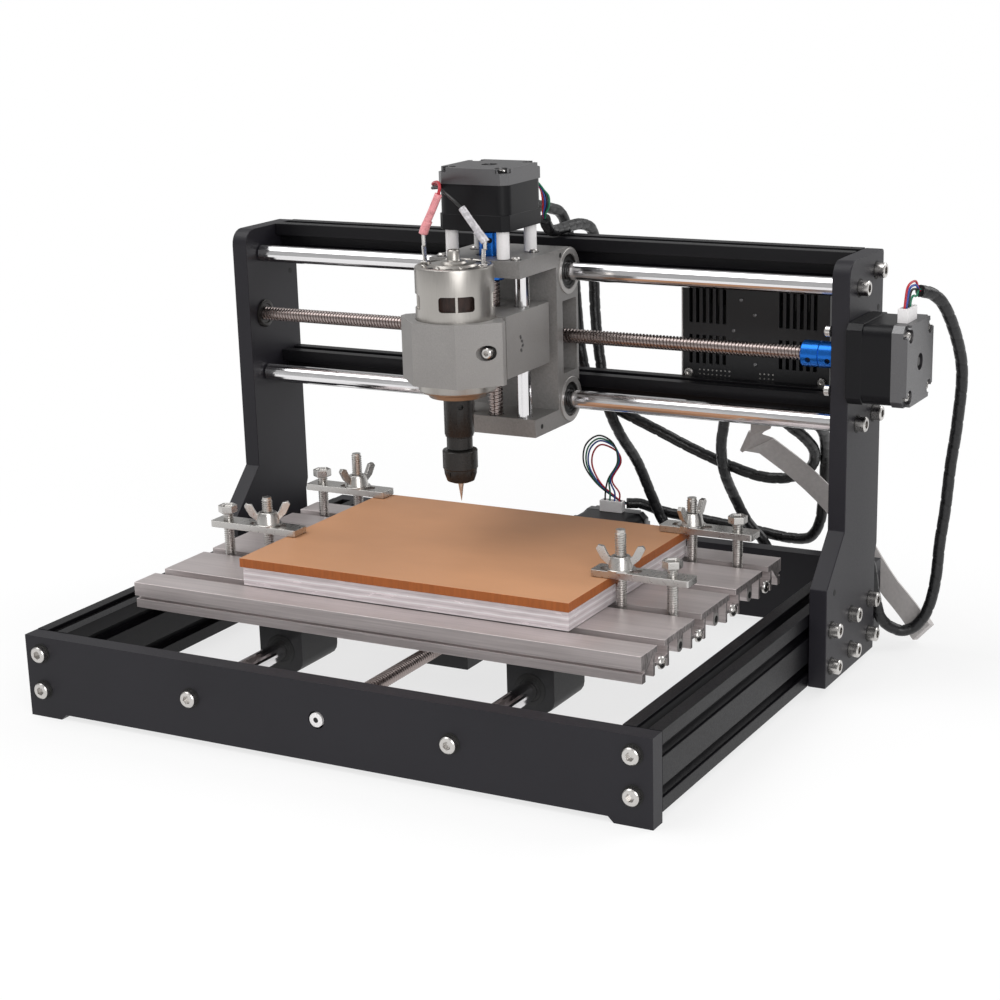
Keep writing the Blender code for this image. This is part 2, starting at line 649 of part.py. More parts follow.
def spindle_mount():
    """Sliding block on the Z rods with the split clamp for the spindle motor."""
    half = 30.7
    rear_half = 24.9
    face = 133.6
    outline = [
        (CARRIAGE_X - rear_half, 216.5),
        (CARRIAGE_X - rear_half, 162.6),
        (CARRIAGE_X - half, 157.4),
        (CARRIAGE_X - half, 152.5),
        (CARRIAGE_X - 13.0, face),
        (CARRIAGE_X + 13.0, face),
        (CARRIAGE_X + half, 152.5),
        (CARRIAGE_X + half, 155.8),
        (CARRIAGE_X + rear_half, 161.6),
        (CARRIAGE_X + rear_half, 216.5),
    ]
    made = prism("spindle_mount", outline, "z", MOUNT_Z[0], MOUNT_Z[1], CAST_METAL)
    low = MOUNT_Z[0] - 1
    high = MOUNT_Z[1] + 1
    drill(made, [bore("z", (CARRIAGE_X, SPINDLE_Y), (CAN_RADIUS + GAP, low, high))], 40)
    carve(made, [(CARRIAGE_X + 15.0, CARRIAGE_X + half + 1, 164.0, 167.4, low - 1, high + 1)])
    nut_seat = MOUNT_Z[1] - 6.0
    steps = ((SCREW_RADIUS + 0.35, low, nut_seat), (7.8, nut_seat, high))
    holes = [bore("z", (CARRIAGE_X, Z_AXIS_Y), *steps)]
    for side in (-1, 1):
        middle = (CARRIAGE_X + side * Z_ROD_OFFSET, Z_AXIS_Y)
        holes.append(bore("z", middle, (Z_ROD_RADIUS + 0.35, low, high)))
    drill(made, holes, tag="_guides")
    drill(made, [bore("y", (CARRIAGE_X + 24.6, 181.4), (4.1, 130.0, 149.6))], 20, "_cap_seat")


def spindle():
    """Spindle motor, its tool holder with collet nut, and the engraving bit."""
    centre = (CARRIAGE_X, SPINDLE_Y)
    can = [(8.6, 155.0), (15.5, 155.0), (17.0, 157.6), (20.4, 158.4), (CAN_RADIUS, 159.0)]
    can += [(CAN_RADIUS, 224.6), (20.2, 225.4), (12.0, 225.6), (6.0, 226.2), (6.0, 229.6), (0.0, 229.6)]
    can += [(0.0, 160.0), (8.6, 160.0)]
    made = turned("spindle_motor", can, "z", centre, NICKEL, segments=40)
    bm = bmesh.new()
    for step in range(4):
        window = bmesh.new()
        add_prism(window, block((15.5, -9.4), (25.0, 9.4)), "z", 202.8, 210.8)
        spin = Matrix.Rotation(math.radians(-58 + 90 * step), 4, "Z")
        move = Matrix.Translation((CARRIAGE_X, SPINDLE_Y, 0.0))
        bmesh.ops.transform(window, matrix=move @ spin, verts=window.verts)
        mesh = bpy.data.meshes.new("window")
        window.to_mesh(mesh)
        window.free()
        bm.from_mesh(mesh)
        bpy.data.meshes.remove(mesh)
    boolean(made, helper("spindle_motor_windows", bm), "DIFFERENCE")
    holder = [(0.0, 159.6), (8.0, 159.6), (8.0, 133.8), (7.0, 132.6), (7.0, 125.6), (9.5, 124.8)]
    holder += [(9.5, 115.6), (8.9, 114.8), (8.9, 112.4), (7.4, 108.2), (5.0, 107.4), (1.9, 107.4)]
    holder += [(1.9, 131.0), (0.0, 131.0)]
    turned("tool_holder", holder, "z", centre, DARK_STEEL, origin=(*centre, 130.0), segments=32)
    bit = [(0.0, 130.6), (1.6, 130.6), (1.6, 107.0), (0.1, 96.7), (0.0, 96.7)]
    turned("cutting_bit", bit, "z", centre, STEEL, origin=(*centre, 107.0), segments=16)


def lead_screws():
    """Lead screws of the three axes and the blue couplings that join X and Z to their motors."""
    x_centre = (X_ROD_Y, X_SCREW_Z)
    x_bar = rod_profile(SCREW_RADIUS, -HALF_WIDTH - 6.0, 169.4)
    turned("x_lead_screw", x_bar, "x", x_centre, STEEL, origin=(0.0, *x_centre))
    joint = [(4.3, 160.7), (6.6, 160.7), (7.0, 161.1), (7.0, 180.3), (6.6, 180.7), (2.5, 180.7)]
    joint += [(2.5, 188.8), (0.0, 188.8), (0.0, 169.9), (4.3, 169.9)]
    turned("x_coupling", joint, "x", x_centre, BLUE_METAL, origin=(170.0, *x_centre))
    y_bar = [(0.0, 1.6), (3.6, 1.6), (SCREW_RADIUS, 2.2), (SCREW_RADIUS, 279.0), (7.0, 279.2)]
    y_bar += [(7.0, 299.0), (2.5, 299.2), (2.5, 307.8), (0.0, 307.8)]
    turned("y_lead_screw", y_bar, "y", (0.0, Y_ROD_Z), STEEL, origin=(0.0, 150.0, Y_ROD_Z))
    z_centre = (CARRIAGE_X, Z_AXIS_Y)
    z_bar = rod_profile(SCREW_RADIUS, 130.4, 221.4)
    turned("z_lead_screw", z_bar, "z", z_centre, STEEL, origin=(*z_centre, 170.0))
    joint = [(4.3, 210.6), (6.6, 210.6), (7.0, 211.0), (7.0, 236.8), (6.6, 237.2), (0.0, 237.2)]
    joint += [(0.0, 222.0), (4.3, 222.0)]
    turned("z_coupling", joint, "z", z_centre, BLUE_METAL, origin=(*z_centre, 224.0))


def motor_cables():
    """Sleeved cables of the three stepper motors and of the spindle."""
    x_route = [(219.5, 246.0, 209.5), (223.5, 254.0, 207.0), (227.4, 263.0, 199.5)]
    x_route += [(231.2, 285.0, 164.8), (227.6, 293.0, 130.8), (223.2, 298.0, 105.5)]
    x_route += [(221.0, 298.0, 80.0), (218.6, 298.0, 60.6), (217.3, 297.5, 41.4), (215.0, 297.0, 27.7)]
    x_route += [(211.4, 296.0, 17.7), (205.7, 294.5, 10.9), (200.1, 292.5, 9.1), (195.2, 290.0, 11.0)]
    x_route += [(190.0, 286.0, 17.0), (187.2, 281.5, 33.0), (184.0, 281.0, 50.0), (174.0, 284.0, 62.0)]
    x_route += [(170.0, 287.0, 80.0), (171.0, 287.0, 130.0), (172.4, 286.0, 147.0)]
    x_route += [(169.4, 285.2, 160.4), (161.9, 285.0, 160.8)]
    cable("x_motor_cable", x_route, 6.5, CABLE_BLACK)
    y_route = [(8.0, 338.5, 51.5), (16.0, 342.5, 51.0)]
    y_route += [(27.2, 345.0, 47.4), (61.8, 345.0, 44.2), (90.0, 345.0, 41.7), (116.1, 342.0, 40.4)]
    y_route += [(127.0, 340.0, 43.0), (133.4, 338.5, 53.0), (135.4, 338.5, 72.0), (138.0, 334.0, 93.0)]
    y_route += [(142.5, 318.0, 112.0), (142.5, 300.0, 123.5), (141.0, 290.2, 129.0), (141.0, 289.6, 133.2)]
    cable("y_motor_cable", y_route, 6.5, CABLE_BLACK)
    z_route = [(11.6, 230.4, 240.0), (10.4, 235.6, 235.2), (9.0, 243.0, 231.8), (7.6, 252.0, 230.5)]
    z_route += [(6.8, 262.0, 230.4), (6.6, 273.0, 230.4), (7.0, 285.0, 229.6), (7.4, 296.0, 225.6)]
    z_route += [(6.0, 304.0, 215.0), (3.5, 307.0, 197.0), (5.0, 305.5, 170.0), (9.5, 302.5, 144.0)]
    z_route += [(15.0, 300.5, 120.0), (18.8, 307.4, 103.3)]
    z_route += [(21.6, 325.6, 82.0), (26.4, 336.2, 58.0), (31.6, 339.0, 44.0), (37.7, 340.0, 34.6)]
    z_route += [(50.0, 344.0, 25.0), (70.0, 346.0, 20.0), (89.0, 345.0, 21.5), (101.0, 340.0, 28.0)]
    z_route += [(100.1, 334.0, 38.9), (89.8, 334.5, 49.4), (83.4, 330.6, 64.0), (81.7, 317.4, 83.6)]
    z_route += [(84.5, 306.0, 102.4), (90.0, 297.0, 118.9), (92.3, 290.6, 128.0), (92.5, 289.6, 133.2)]
    cable("z_motor_cable", z_route, 6.5, CABLE_BLACK)
    spindle_route = [(-22.0, 224.0, 262.0), (-20.5, 240.0, 259.0), (-17.5, 256.0, 250.0)]
    spindle_route += [(-15.5, 270.0, 242.0), (-14.2, 285.0, 238.0), (-13.2, 298.0, 233.5)]
    spindle_route += [(-12.4, 306.5, 220.0), (-11.2, 309.5, 200.0), (-9.0, 309.0, 175.0)]
    spindle_route += [(-6.0, 308.0, 150.0), (-1.0, 309.0, 131.0), (9.1, 309.5, 120.3)]
    spindle_route += [(21.5, 311.0, 114.5), (41.2, 315.0, 105.0), (60.2, 322.0, 94.2), (83.7, 326.5, 84.5)]
    spindle_route += [(101.5, 329.5, 79.6), (118.0, 331.0, 80.8), (129.5, 332.6, 87.5), (135.0, 323.6, 99.4)]
    spindle_route += [(133.5, 310.0, 111.0), (128.5, 298.0, 120.5), (126.5, 290.2, 128.0), (126.5, 289.6, 133.2)]
    cable("spindle_cable", spindle_route, 6.5, CABLE_BLACK)


def ribbon():
    """Flat ribbon cable folded once behind the gantry, and the plug on its end."""
    half = 6.4
    thick = 1.3
    rows = []
    down = [((111.9, 293.0, 133.6), 0.0), ((111.9, 297.0, 126.0), 0.0), ((111.9, 300.0, 119.7), 0.0)]
    for place, lean in down:
        rows.append((Vector(place), Vector((math.cos(lean), 0.0, math.sin(lean))), Vector((0.0, 1.0, 0.0))))
    fold = [((110.5, 301.5, 113.6), 22.0, 0.0), ((107.6, 303.2, 108.4), 50.0, 0.0)]
    for place, lean, _ in fold:
        angle = math.radians(lean)
        rows.append((Vector(place), Vector((math.cos(angle), 0.0, math.sin(angle))), Vector((0.0, 1.0, 0.0))))
    turn = math.radians(66.0)
    along = Vector((math.cos(turn), 0.0, math.sin(turn)))
    side = Vector((-along.z, 0.0, along.x))
    middle = Vector((101.6, 305.4, 106.0))
    for step in range(5):
        angle = math.pi * step / 4
        offset = side * (2.0 * math.sin(angle)) + Vector((0.0, -2.0 * math.cos(angle), 0.0))
        normal = Vector((0.0, math.cos(angle), 0.0)) - side * math.sin(angle)
        rows.append((middle + offset, along, normal))
    run = [(109.5, 313.4, 102.8), (123.8, 322.2, 89.2), (132.5, 327.0, 80.0), (141.0, 330.0, 71.0)]
    run += [(150.0, 331.3, 61.0), (157.5, 331.0, 53.0), (168.0, 326.0, 41.5), (179.0, 318.4, 31.5)]
    run += [(187.4, 313.0, 24.9), (194.7, 309.0, 20.0), (201.9, 305.4, 14.2), (205.6, 303.6, 10.6)]
    places = smooth_path(run, 9.0)
    for index, place in enumerate(places):
        ahead = (places[min(index + 1, len(places) - 1)] - places[max(index - 1, 0)]).normalized()
        out = Vector((0.0, -1.0, 0.0))
        out = (out - ahead * out.dot(ahead)).normalized()
        rows.append((place, out.cross(ahead).normalized() * -1.0, out))
    bm = bmesh.new()
    rings = []
    for centre, across, normal in rows:
        corners = []
        for width, depth in ((-1, -1), (1, -1), (1, 1), (-1, 1)):
            corners.append(bm.verts.new(centre + across * (half * width) + normal * (thick / 2 * depth)))
        rings.append(corners)
    bm.faces.new(rings[0])
    bm.faces.new(rings[-1])
    for one, two in zip(rings, rings[1:]):
        for index in range(4):
            after = (index + 1) % 4
            bm.faces.new((one[index], one[after], two[after], two[index]))
    finish_mesh("ribbon_cable", bm, RIBBON_GREY)
    heading = (places[-1] - places[-2]).normalized()
    across = rows[-1][1]
    out = heading.cross(across)
    frame = Matrix((heading, across, out)).transposed().to_4x4()
    bm = bmesh.new()
    add_prism(bm, block((GAP, -7.0), (6.2, 7.0)), "z", -2.4, 2.4)
    bmesh.ops.transform(bm, matrix=Matrix.Translation(places[-1]) @ frame, verts=bm.verts)
    finish_mesh("ribbon_plug", bm, RIBBON_GREY)


clear_scene()
base_frame()
uprights()
gantry_beams_and_rods()
frame_motors()
controller()
frame_screws()
bed()
work()
clamps()
carriage()
spindle_mount()
spindle()
lead_screws()
motor_cables()
ribbon()
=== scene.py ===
"""Looks of a desktop gantry router: finishes, fasteners, threads, cables, wires and a plain stage."""

import json
import math

import bmesh
import bpy
from mathutils import Matrix, Vector

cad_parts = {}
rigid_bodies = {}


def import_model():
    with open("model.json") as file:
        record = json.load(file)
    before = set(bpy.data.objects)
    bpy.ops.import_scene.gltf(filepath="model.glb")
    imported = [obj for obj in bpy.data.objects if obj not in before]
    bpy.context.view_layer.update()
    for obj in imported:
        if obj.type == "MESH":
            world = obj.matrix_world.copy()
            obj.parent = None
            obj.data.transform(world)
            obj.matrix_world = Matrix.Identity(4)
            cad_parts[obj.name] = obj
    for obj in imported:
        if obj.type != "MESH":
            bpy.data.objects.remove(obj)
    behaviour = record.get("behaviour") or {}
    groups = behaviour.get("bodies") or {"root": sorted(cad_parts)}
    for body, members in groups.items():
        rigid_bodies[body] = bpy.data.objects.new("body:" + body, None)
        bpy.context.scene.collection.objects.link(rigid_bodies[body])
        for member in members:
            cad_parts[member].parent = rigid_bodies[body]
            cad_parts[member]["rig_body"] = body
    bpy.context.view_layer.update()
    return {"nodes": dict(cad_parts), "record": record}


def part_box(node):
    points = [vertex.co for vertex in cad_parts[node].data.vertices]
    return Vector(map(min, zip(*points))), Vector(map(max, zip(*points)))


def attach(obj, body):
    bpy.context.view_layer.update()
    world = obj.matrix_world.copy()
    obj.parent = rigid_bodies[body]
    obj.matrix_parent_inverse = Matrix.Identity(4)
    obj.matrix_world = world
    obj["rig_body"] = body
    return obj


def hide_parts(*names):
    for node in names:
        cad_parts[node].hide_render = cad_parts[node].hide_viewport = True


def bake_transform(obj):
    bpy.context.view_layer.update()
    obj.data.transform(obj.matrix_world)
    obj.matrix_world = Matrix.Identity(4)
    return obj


bl_info = {
    "name": "Desktop Router Looks",
    "version": (1, 0, 0),
    "blender": (4, 5, 0),
    "location": "View3D > Sidebar > Router",
    "description": "Builds the visible detail of a desktop gantry router on its fixed frame",
    "category": "Object",
}

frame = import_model()
MM = 0.001
PLATE_LOW, PLATE_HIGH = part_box("front_plate")
MIDDLE_X = (PLATE_LOW.x + PLATE_HIGH.x) / 2
UP = Vector((0, 0, 1))
RIGHT = Vector((1, 0, 0))
LEFT = Vector((-1, 0, 0))
FRONT = Vector((0, -1, 0))
BACK = Vector((0, 1, 0))
LOOKS = {}

# Places that several pieces share, in the millimetres that spot takes.
FRAME_DEPTH, REAR_PLATE_Y = 310.0, 300.0
UPRIGHT_OUT, UPRIGHT_IN = 191.0, 181.3
UPRIGHT_SCREWS = (203.0, 233.0, 262.5)
RAIL_SLOTS = (35.5, 15.5)
ROD_Y = 236.0
X_ROD_HEIGHTS = (211.0, 139.4)
X_SCREW_HEIGHT = 175.0
Y_ROD_X = 75.6
Y_SCREW_HEIGHT = 25.2
SLIDE_BLOCK_LENGTH = 35.0
CARRIAGE_X = -4.6
Z_SCREW_Y = 199.0
SPINDLE_Y = 157.6
CASE_FRONT, CASE_BACK = 272.8, 298.0

# Stepper motors: outer side, half the spacing of the case screws and of the mounting holes.
MOTOR_SIDE = 42.3
MOTOR_SCREW = 15.6
MOTOR_HOLE = 15.5

# Lead screws: outer and root radius, pitch, starts.
LEAD_SCREW = (4.0, 3.3, 2.0, 2)
CLAMP_PITCH = 1.25


def spot(x, y, z):
    """A place in millimetres from the foot of the front plate's middle, as a point of the frame."""
    return Vector((MIDDLE_X + x * MM, PLATE_LOW.y + y * MM, z * MM))


# ---------------------------------------------------------------- modelling helpers


def deselect():
    """Leave edit mode and select nothing."""
    if bpy.context.mode != "OBJECT":
        bpy.ops.object.mode_set(mode="OBJECT")
    bpy.ops.object.select_all(action="DESELECT")


def pick(obj):
    """Select one object and make it active."""
    deselect()
    obj.select_set(True)
    bpy.context.view_layer.objects.active = obj


def edit(obj):
    """Go into edit mode on one object with all of it selected."""
    pick(obj)
    bpy.ops.object.mode_set(mode="EDIT")
    bpy.ops.mesh.select_all(action="SELECT")


def leave(consistent=True):
    """Turn the faces outwards, unless they must stay as they are, and go back to object mode."""
    if consistent:
        bpy.ops.mesh.select_all(action="SELECT")
        bpy.ops.mesh.normals_make_consistent(inside=False)
    bpy.ops.object.mode_set(mode="OBJECT")


def choose(obj, wanted):
    """In edit mode, select only the faces for which wanted(face) is true."""
    bpy.ops.mesh.select_all(action="DESELECT")
    bpy.ops.mesh.select_mode(type="FACE")
    mesh = bmesh.from_edit_mesh(obj.data)
    for face in mesh.faces:
        if wanted(face):
            face.select_set(True)
    bmesh.update_edit_mesh(obj.data)


def apply_all(obj):
    """Apply every modifier of an object."""
    pick(obj)
    for modifier in list(obj.modifiers):
        bpy.ops.object.modifier_apply(modifier=modifier.name)


def smooth(obj, angle=34.0):
    """Shade smooth except over sharp edges."""
    pick(obj)
    bpy.ops.object.shade_smooth_by_angle(angle=math.radians(angle))


def soften(obj, width, segments=2, angle=38.0):
    """Break the sharp edges and keep the flat faces flat in shading."""
    bevel = obj.modifiers.new("edges", "BEVEL")
    bevel.width = width * MM
    bevel.segments = segments
    bevel.limit_method = "ANGLE"
    bevel.angle_limit = math.radians(angle)
    bevel.use_clamp_overlap = True
    apply_all(obj)
    smooth(obj, 50.0)
    weights = obj.modifiers.new("weights", "WEIGHTED_NORMAL")
    weights.keep_sharp = True
    apply_all(obj)


def turn_to(direction, roll=0.0):
    """Rotation that takes +Z to a direction, after a roll about +Z in degrees."""
    aim = UP.rotation_difference(Vector(direction)).to_matrix().to_4x4()
    return aim @ Matrix.Rotation(math.radians(roll), 4, "Z")


def put(obj, place, direction=UP, roll=0.0):
    """Move a piece built at the world's origin to its place, and keep that place in its mesh."""
    obj.matrix_world = Matrix.Translation(place) @ turn_to(direction, roll)
    pick(obj)
    bpy.ops.object.transform_apply(location=True, rotation=True, scale=True)
    return obj


def turned(name, rings, segments=32):
    """A turned piece along +Z: a disc extruded and scaled from ring to ring, in millimetres."""
    deselect()
    radius, height = rings[0]
    bpy.ops.mesh.primitive_circle_add(
        vertices=segments, radius=radius * MM, fill_type="NGON", location=(0, 0, height * MM)
    )
    obj = bpy.context.active_object
    obj.name = name
    pick(obj)
    bpy.ops.object.transform_apply(location=True, rotation=False, scale=False)
    edit(obj)
    for next_radius, next_height in rings[1:]:
        rise = (0.0, 0.0, (next_height - height) * MM)
        bpy.ops.mesh.extrude_region_move(TRANSFORM_OT_translate={"value": rise})
        if abs(next_radius - radius) > 1e-6:
            factor = next_radius / radius
            middle = (0.0, 0.0, next_height * MM)
            bpy.ops.transform.resize(value=(factor, factor, 1.0), center_override=middle)
        radius, height = next_radius, next_height
    leave()
    smooth(obj)
    return obj


def slab(name, size, low, edge):
    """A block, with broken edges if edge isn't 0, from its size and its lowest corner in millimetres."""
    deselect()
    centre = [(low[k] + size[k] / 2) * MM for k in range(3)]
    bpy.ops.mesh.primitive_cube_add(size=1.0, location=centre)
    obj = bpy.context.active_object
    obj.name = name
    obj.scale = [side * MM for side in size]
    pick(obj)
    bpy.ops.object.transform_apply(location=True, rotation=True, scale=True)
    if edge:
        soften(obj, edge)
    return obj


def cut(obj, tool):
    """Cut a piece with another one, and remove the tool."""
    change = obj.modifiers.new("cut", "BOOLEAN")
    change.object = tool
    change.operation = "DIFFERENCE"
    change.solver = "EXACT"
    apply_all(obj)
    bpy.data.objects.remove(tool, do_unlink=True)
    return obj


def join(name, pieces):
    """Several solids as one piece."""
    deselect()
    for piece in pieces:
        piece.select_set(True)
    bpy.context.view_layer.objects.active = pieces[0]
    if len(pieces) > 1:
        bpy.ops.object.join()
    obj = bpy.context.view_layer.objects.active
    obj.name = name
    obj.data.name = name
    return obj


def spread(name, master, places):
    """Copies of a piece, each at (place, direction, roll), as one piece; the master is used up."""
    made = []
    for index, (place, direction, roll) in enumerate(places):
        copy = bpy.data.objects.new(f"{name}_{index}", master.data.copy())
        bpy.context.scene.collection.objects.link(copy)
        made.append(put(copy, place, direction, roll))
    bpy.data.objects.remove(master, do_unlink=True)
    return join(name, made)


def finish(obj, look, body, slot=None, *replaced):
    """Give a piece its material, its body and the CAD nodes it stands for, which are hidden; the slot is not
    used.
    """
    obj.data.materials.clear()
    obj.data.materials.append(LOOKS[look])
    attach(obj, body)
    if replaced:
        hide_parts(*replaced)
    return obj


def scatter(name, body, look, rings, segments, places):
    """Copies of one turned piece, each at (place, direction, roll), as one finished piece."""
    return finish(spread(name, turned(name + "_master", rings, segments), places), look, body)


def eased(node, look, width, segments=2, angle=38.0):
    """A copy of a CAD node with its edges broken, shown in its place."""
    source = frame["nodes"][node]
    obj = bpy.data.objects.new(node + "_shell", source.data.copy())
    bpy.context.scene.collection.objects.link(obj)
    edit(obj)
    bpy.ops.mesh.remove_doubles(threshold=0.00001)
    bpy.ops.mesh.dissolve_limited(angle_limit=math.radians(0.6))
    leave(False)
    soften(obj, width, segments, angle)
    slot = next(p["material_slot"] for p in frame["record"]["subparts"] if p["node"] == node)
    return finish(obj, look, source["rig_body"], slot, node)


# ---------------------------------------------------------------- materials


NOISE_ROUGHNESS = 0.55


class Graph:
    """A material's node tree with its Principled shader."""

    def __init__(self, name):
        self.material = bpy.data.materials.new(name)
        self.material.use_nodes = True
        self.tree = self.material.node_tree
        self.shader = self.tree.nodes["Principled BSDF"]
        self.coordinates = self.tree.nodes.new("ShaderNodeTexCoord")

    def node(self, kind, **settings):
        """A new node with its properties and its unlinked inputs set."""
        made = self.tree.nodes.new(kind)
        for key, value in settings.items():
            if key.startswith("in_"):
                made.inputs[int(key[3:])].default_value = value
            else:
                setattr(made, key, value)
        return made

    def link(self, source, target):
        """Link an output socket to an input socket."""
        self.tree.links.new(source, target)

    def mapped(self, scale=(1, 1, 1), turn=(0, 0, 0), source="Object"):
        """Object or UV coordinates, scaled and turned."""
        mapping = self.node("ShaderNodeMapping", in_2=turn, in_3=scale)
        self.link(self.coordinates.outputs[source], mapping.inputs[0])
        return mapping.outputs[0]

    def noise(self, vector, scale, detail):
        """Noise value over a vector."""
        made = self.node("ShaderNodeTexNoise")
        made.inputs["Scale"].default_value = scale
        made.inputs["Detail"].default_value = detail
        made.inputs["Roughness"].default_value = NOISE_ROUGHNESS
        self.link(vector, made.inputs["Vector"])
        return made.outputs["Fac"]

    def ranged(self, value, low, high, to_low, to_high):
        """A value moved from one range to another."""
        made = self.node("ShaderNodeMapRange", in_1=low, in_2=high, in_3=to_low, in_4=to_high)
        self.link(value, made.inputs[0])
        return made.outputs[0]

    def math(self, operation, first, second=None):
        """A Math node on sockets or numbers."""
        made = self.node("ShaderNodeMath", operation=operation)
        for index, value in enumerate((first, second)):
            if isinstance(value, (int, float)):
                made.inputs[index].default_value = value
            elif value is not None:
                self.link(value, made.inputs[index])
        return made.outputs[0]

    def blend(self, factor, first, second):
        """Two colours mixed by a factor; each is a socket or an RGB triple."""
        made = self.node("ShaderNodeMix", data_type="RGBA")
        self.link(factor, made.inputs[0])
        for index, value in ((6, first), (7, second)):
            if isinstance(value, tuple):
                made.inputs[index].default_value = (*value, 1.0)
            else:
                self.link(value, made.inputs[index])
        return made.outputs[2]

    def weighted(self, first, second, share):
        """The first value by its share plus the second by the rest."""
        return self.math("ADD", self.math("MULTIPLY", first, share), self.math("MULTIPLY", second, 1 - share))

    def tinted(self, value, low, high, colour, dark, light):
        """A colour that goes from its dark factor to its light one as a value goes from low to high."""
        share = self.ranged(value, low, high, 0.0, 1.0)
        return self.blend(share, scaled(colour, dark), scaled(colour, light))

    def facing(self, axis, limit):
        """1 on faces that look along an axis, either way, and 0 on the others."""
        geometry = self.node("ShaderNodeNewGeometry")
        parts = self.node("ShaderNodeSeparateXYZ")
        self.link(geometry.outputs["True Normal"], parts.inputs[0])
        return self.math("GREATER_THAN", self.math("ABSOLUTE", parts.outputs[axis]), limit)

    def bump(self, height, distance):
        """Bump from a height."""
        made = self.node("ShaderNodeBump")
        made.inputs["Strength"].default_value = 1.0
        made.inputs["Distance"].default_value = distance
        self.link(height, made.inputs["Height"])
        return made.outputs[0]

    def surface(self, colour=None, roughness=None, normal=None, metallic=0.0, specular=0.5, **more):
        """Connect the shader and return the material."""
        for name, value in (("Base Color", colour), ("Roughness", roughness), ("Normal", normal)):
            if value is None:
                continue
            if isinstance(value, tuple):
                self.shader.inputs[name].default_value = (*value, 1.0)
            elif isinstance(value, float):
                self.shader.inputs[name].default_value = value
            else:
                self.link(value, self.shader.inputs[name])
        self.shader.inputs["Metallic"].default_value = metallic
        self.shader.inputs["Specular IOR Level"].default_value = specular
        for name, value in more.items():
            self.shader.inputs[name.replace("_", " ").title()].default_value = value
        return self.material


def scaled(colour, factor):
    """A colour made lighter or darker."""
    return tuple(min(1.0, part * factor) for part in colour)


def grained(name, colour, rough, metallic, grain, relief, swing, shade, stretch=(1, 1, 1), specular=0.5):
    """A finish with a fine grain in its colour, roughness and relief."""
    graph = Graph(name)
    fine = graph.noise(graph.mapped(stretch), grain, 5.0)
    broad = graph.noise(graph.mapped(), 18.0, 3.0)
    tint = graph.tinted(graph.weighted(fine, broad, 0.6), 0.3, 0.7, colour, 1 - shade, 1 + shade)
    roughness = graph.ranged(fine, 0.3, 0.7, rough - swing, rough + swing)
    return graph.surface(tint, roughness, graph.bump(fine, relief * MM), metallic, specular)


def cable_wrap(name, colour, rough):
    """Wrapped sleeve: a helical groove, darkened in the colour as painted shade, and relief, from the piece's
    own UV map.
    """
    graph = Graph(name)
    parts = graph.node("ShaderNodeSeparateXYZ")
    graph.link(graph.mapped(source="UV"), parts.inputs[0])
    wave = graph.math("FRACT", graph.math("ADD", parts.outputs[0], parts.outputs[1]))
    groove = graph.ranged(graph.math("ABSOLUTE", graph.math("SUBTRACT", wave, 0.5)), 0.0, 0.1, 1.0, 0.0)
    dust = graph.noise(graph.mapped(), 900.0, 4.0)
    tint = graph.tinted(dust, 0.35, 0.75, colour, 0.7, 1.8)
    # The groove is darkened to a quarter of the sleeve's colour: painted shade in the groove.
    tint = graph.blend(groove, tint, scaled(colour, 0.25))
    roughness = graph.ranged(dust, 0.3, 0.7, rough - 0.1, rough + 0.12)
    return graph.surface(tint, roughness, graph.bump(dust, 0.05 * MM), 0.0, 0.45)


def bed_metal(name, colour):
    """Extruded aluminium: drawing lines along X, and a rough sawn face at each end."""
    graph = Graph(name)
    lines = graph.noise(graph.mapped((0.012, 1.0, 1.0)), 1500.0, 3.0)
    sweep = graph.noise(graph.mapped((0.15, 1.0, 1.0)), 60.0, 3.0)
    saw = graph.noise(graph.mapped((1.0, 1.0, 0.22), turn=(0.5, 0.0, 0.0)), 1400.0, 5.0)
    end = graph.facing(0, 0.8)
    drawn = graph.tinted(graph.weighted(lines, sweep, 0.55), 0.36, 0.64, colour, 0.82, 1.16)
    sawn = graph.tinted(saw, 0.35, 0.65, colour, 0.22, 0.8)
    tint = graph.blend(end, drawn, sawn)
    height = graph.node("ShaderNodeMix", data_type="FLOAT")
    graph.link(end, height.inputs[0])
    graph.link(lines, height.inputs[2])
    graph.link(saw, height.inputs[3])
    rough = graph.ranged(lines, 0.3, 0.7, 0.3, 0.46)
    return graph.surface(tint, rough, graph.bump(height.outputs[0], 0.05 * MM), 0.55)


def board_finish(name, face, side):
    """Coated board: smooth tan faces with a fine fleck, and darker cut edges with cutter marks."""
    graph = Graph(name)
    flat = graph.facing(2, 0.75)
    fleck = graph.noise(graph.mapped(), 1100.0, 5.0)
    cloud = graph.noise(graph.mapped((0.5, 1.0, 1.0)), 14.0, 4.0)
    top = graph.tinted(graph.weighted(fleck, cloud, 0.35), 0.38, 0.62, face, 0.9, 1.08)
    marks = graph.noise(graph.mapped((1.0, 1.0, 0.1)), 700.0, 3.0)
    edge = graph.tinted(marks, 0.35, 0.65, side, 0.9, 1.1)
    rough = graph.ranged(fleck, 0.3, 0.7, 0.42, 0.56)
    return graph.surface(graph.blend(flat, edge, top), rough, graph.bump(fleck, 0.02 * MM), 0.0, 0.4)


SHEET = 0.00165  # half the spacing of the slab's glue lines, in metres
FIRST_SEAM = 0.0621


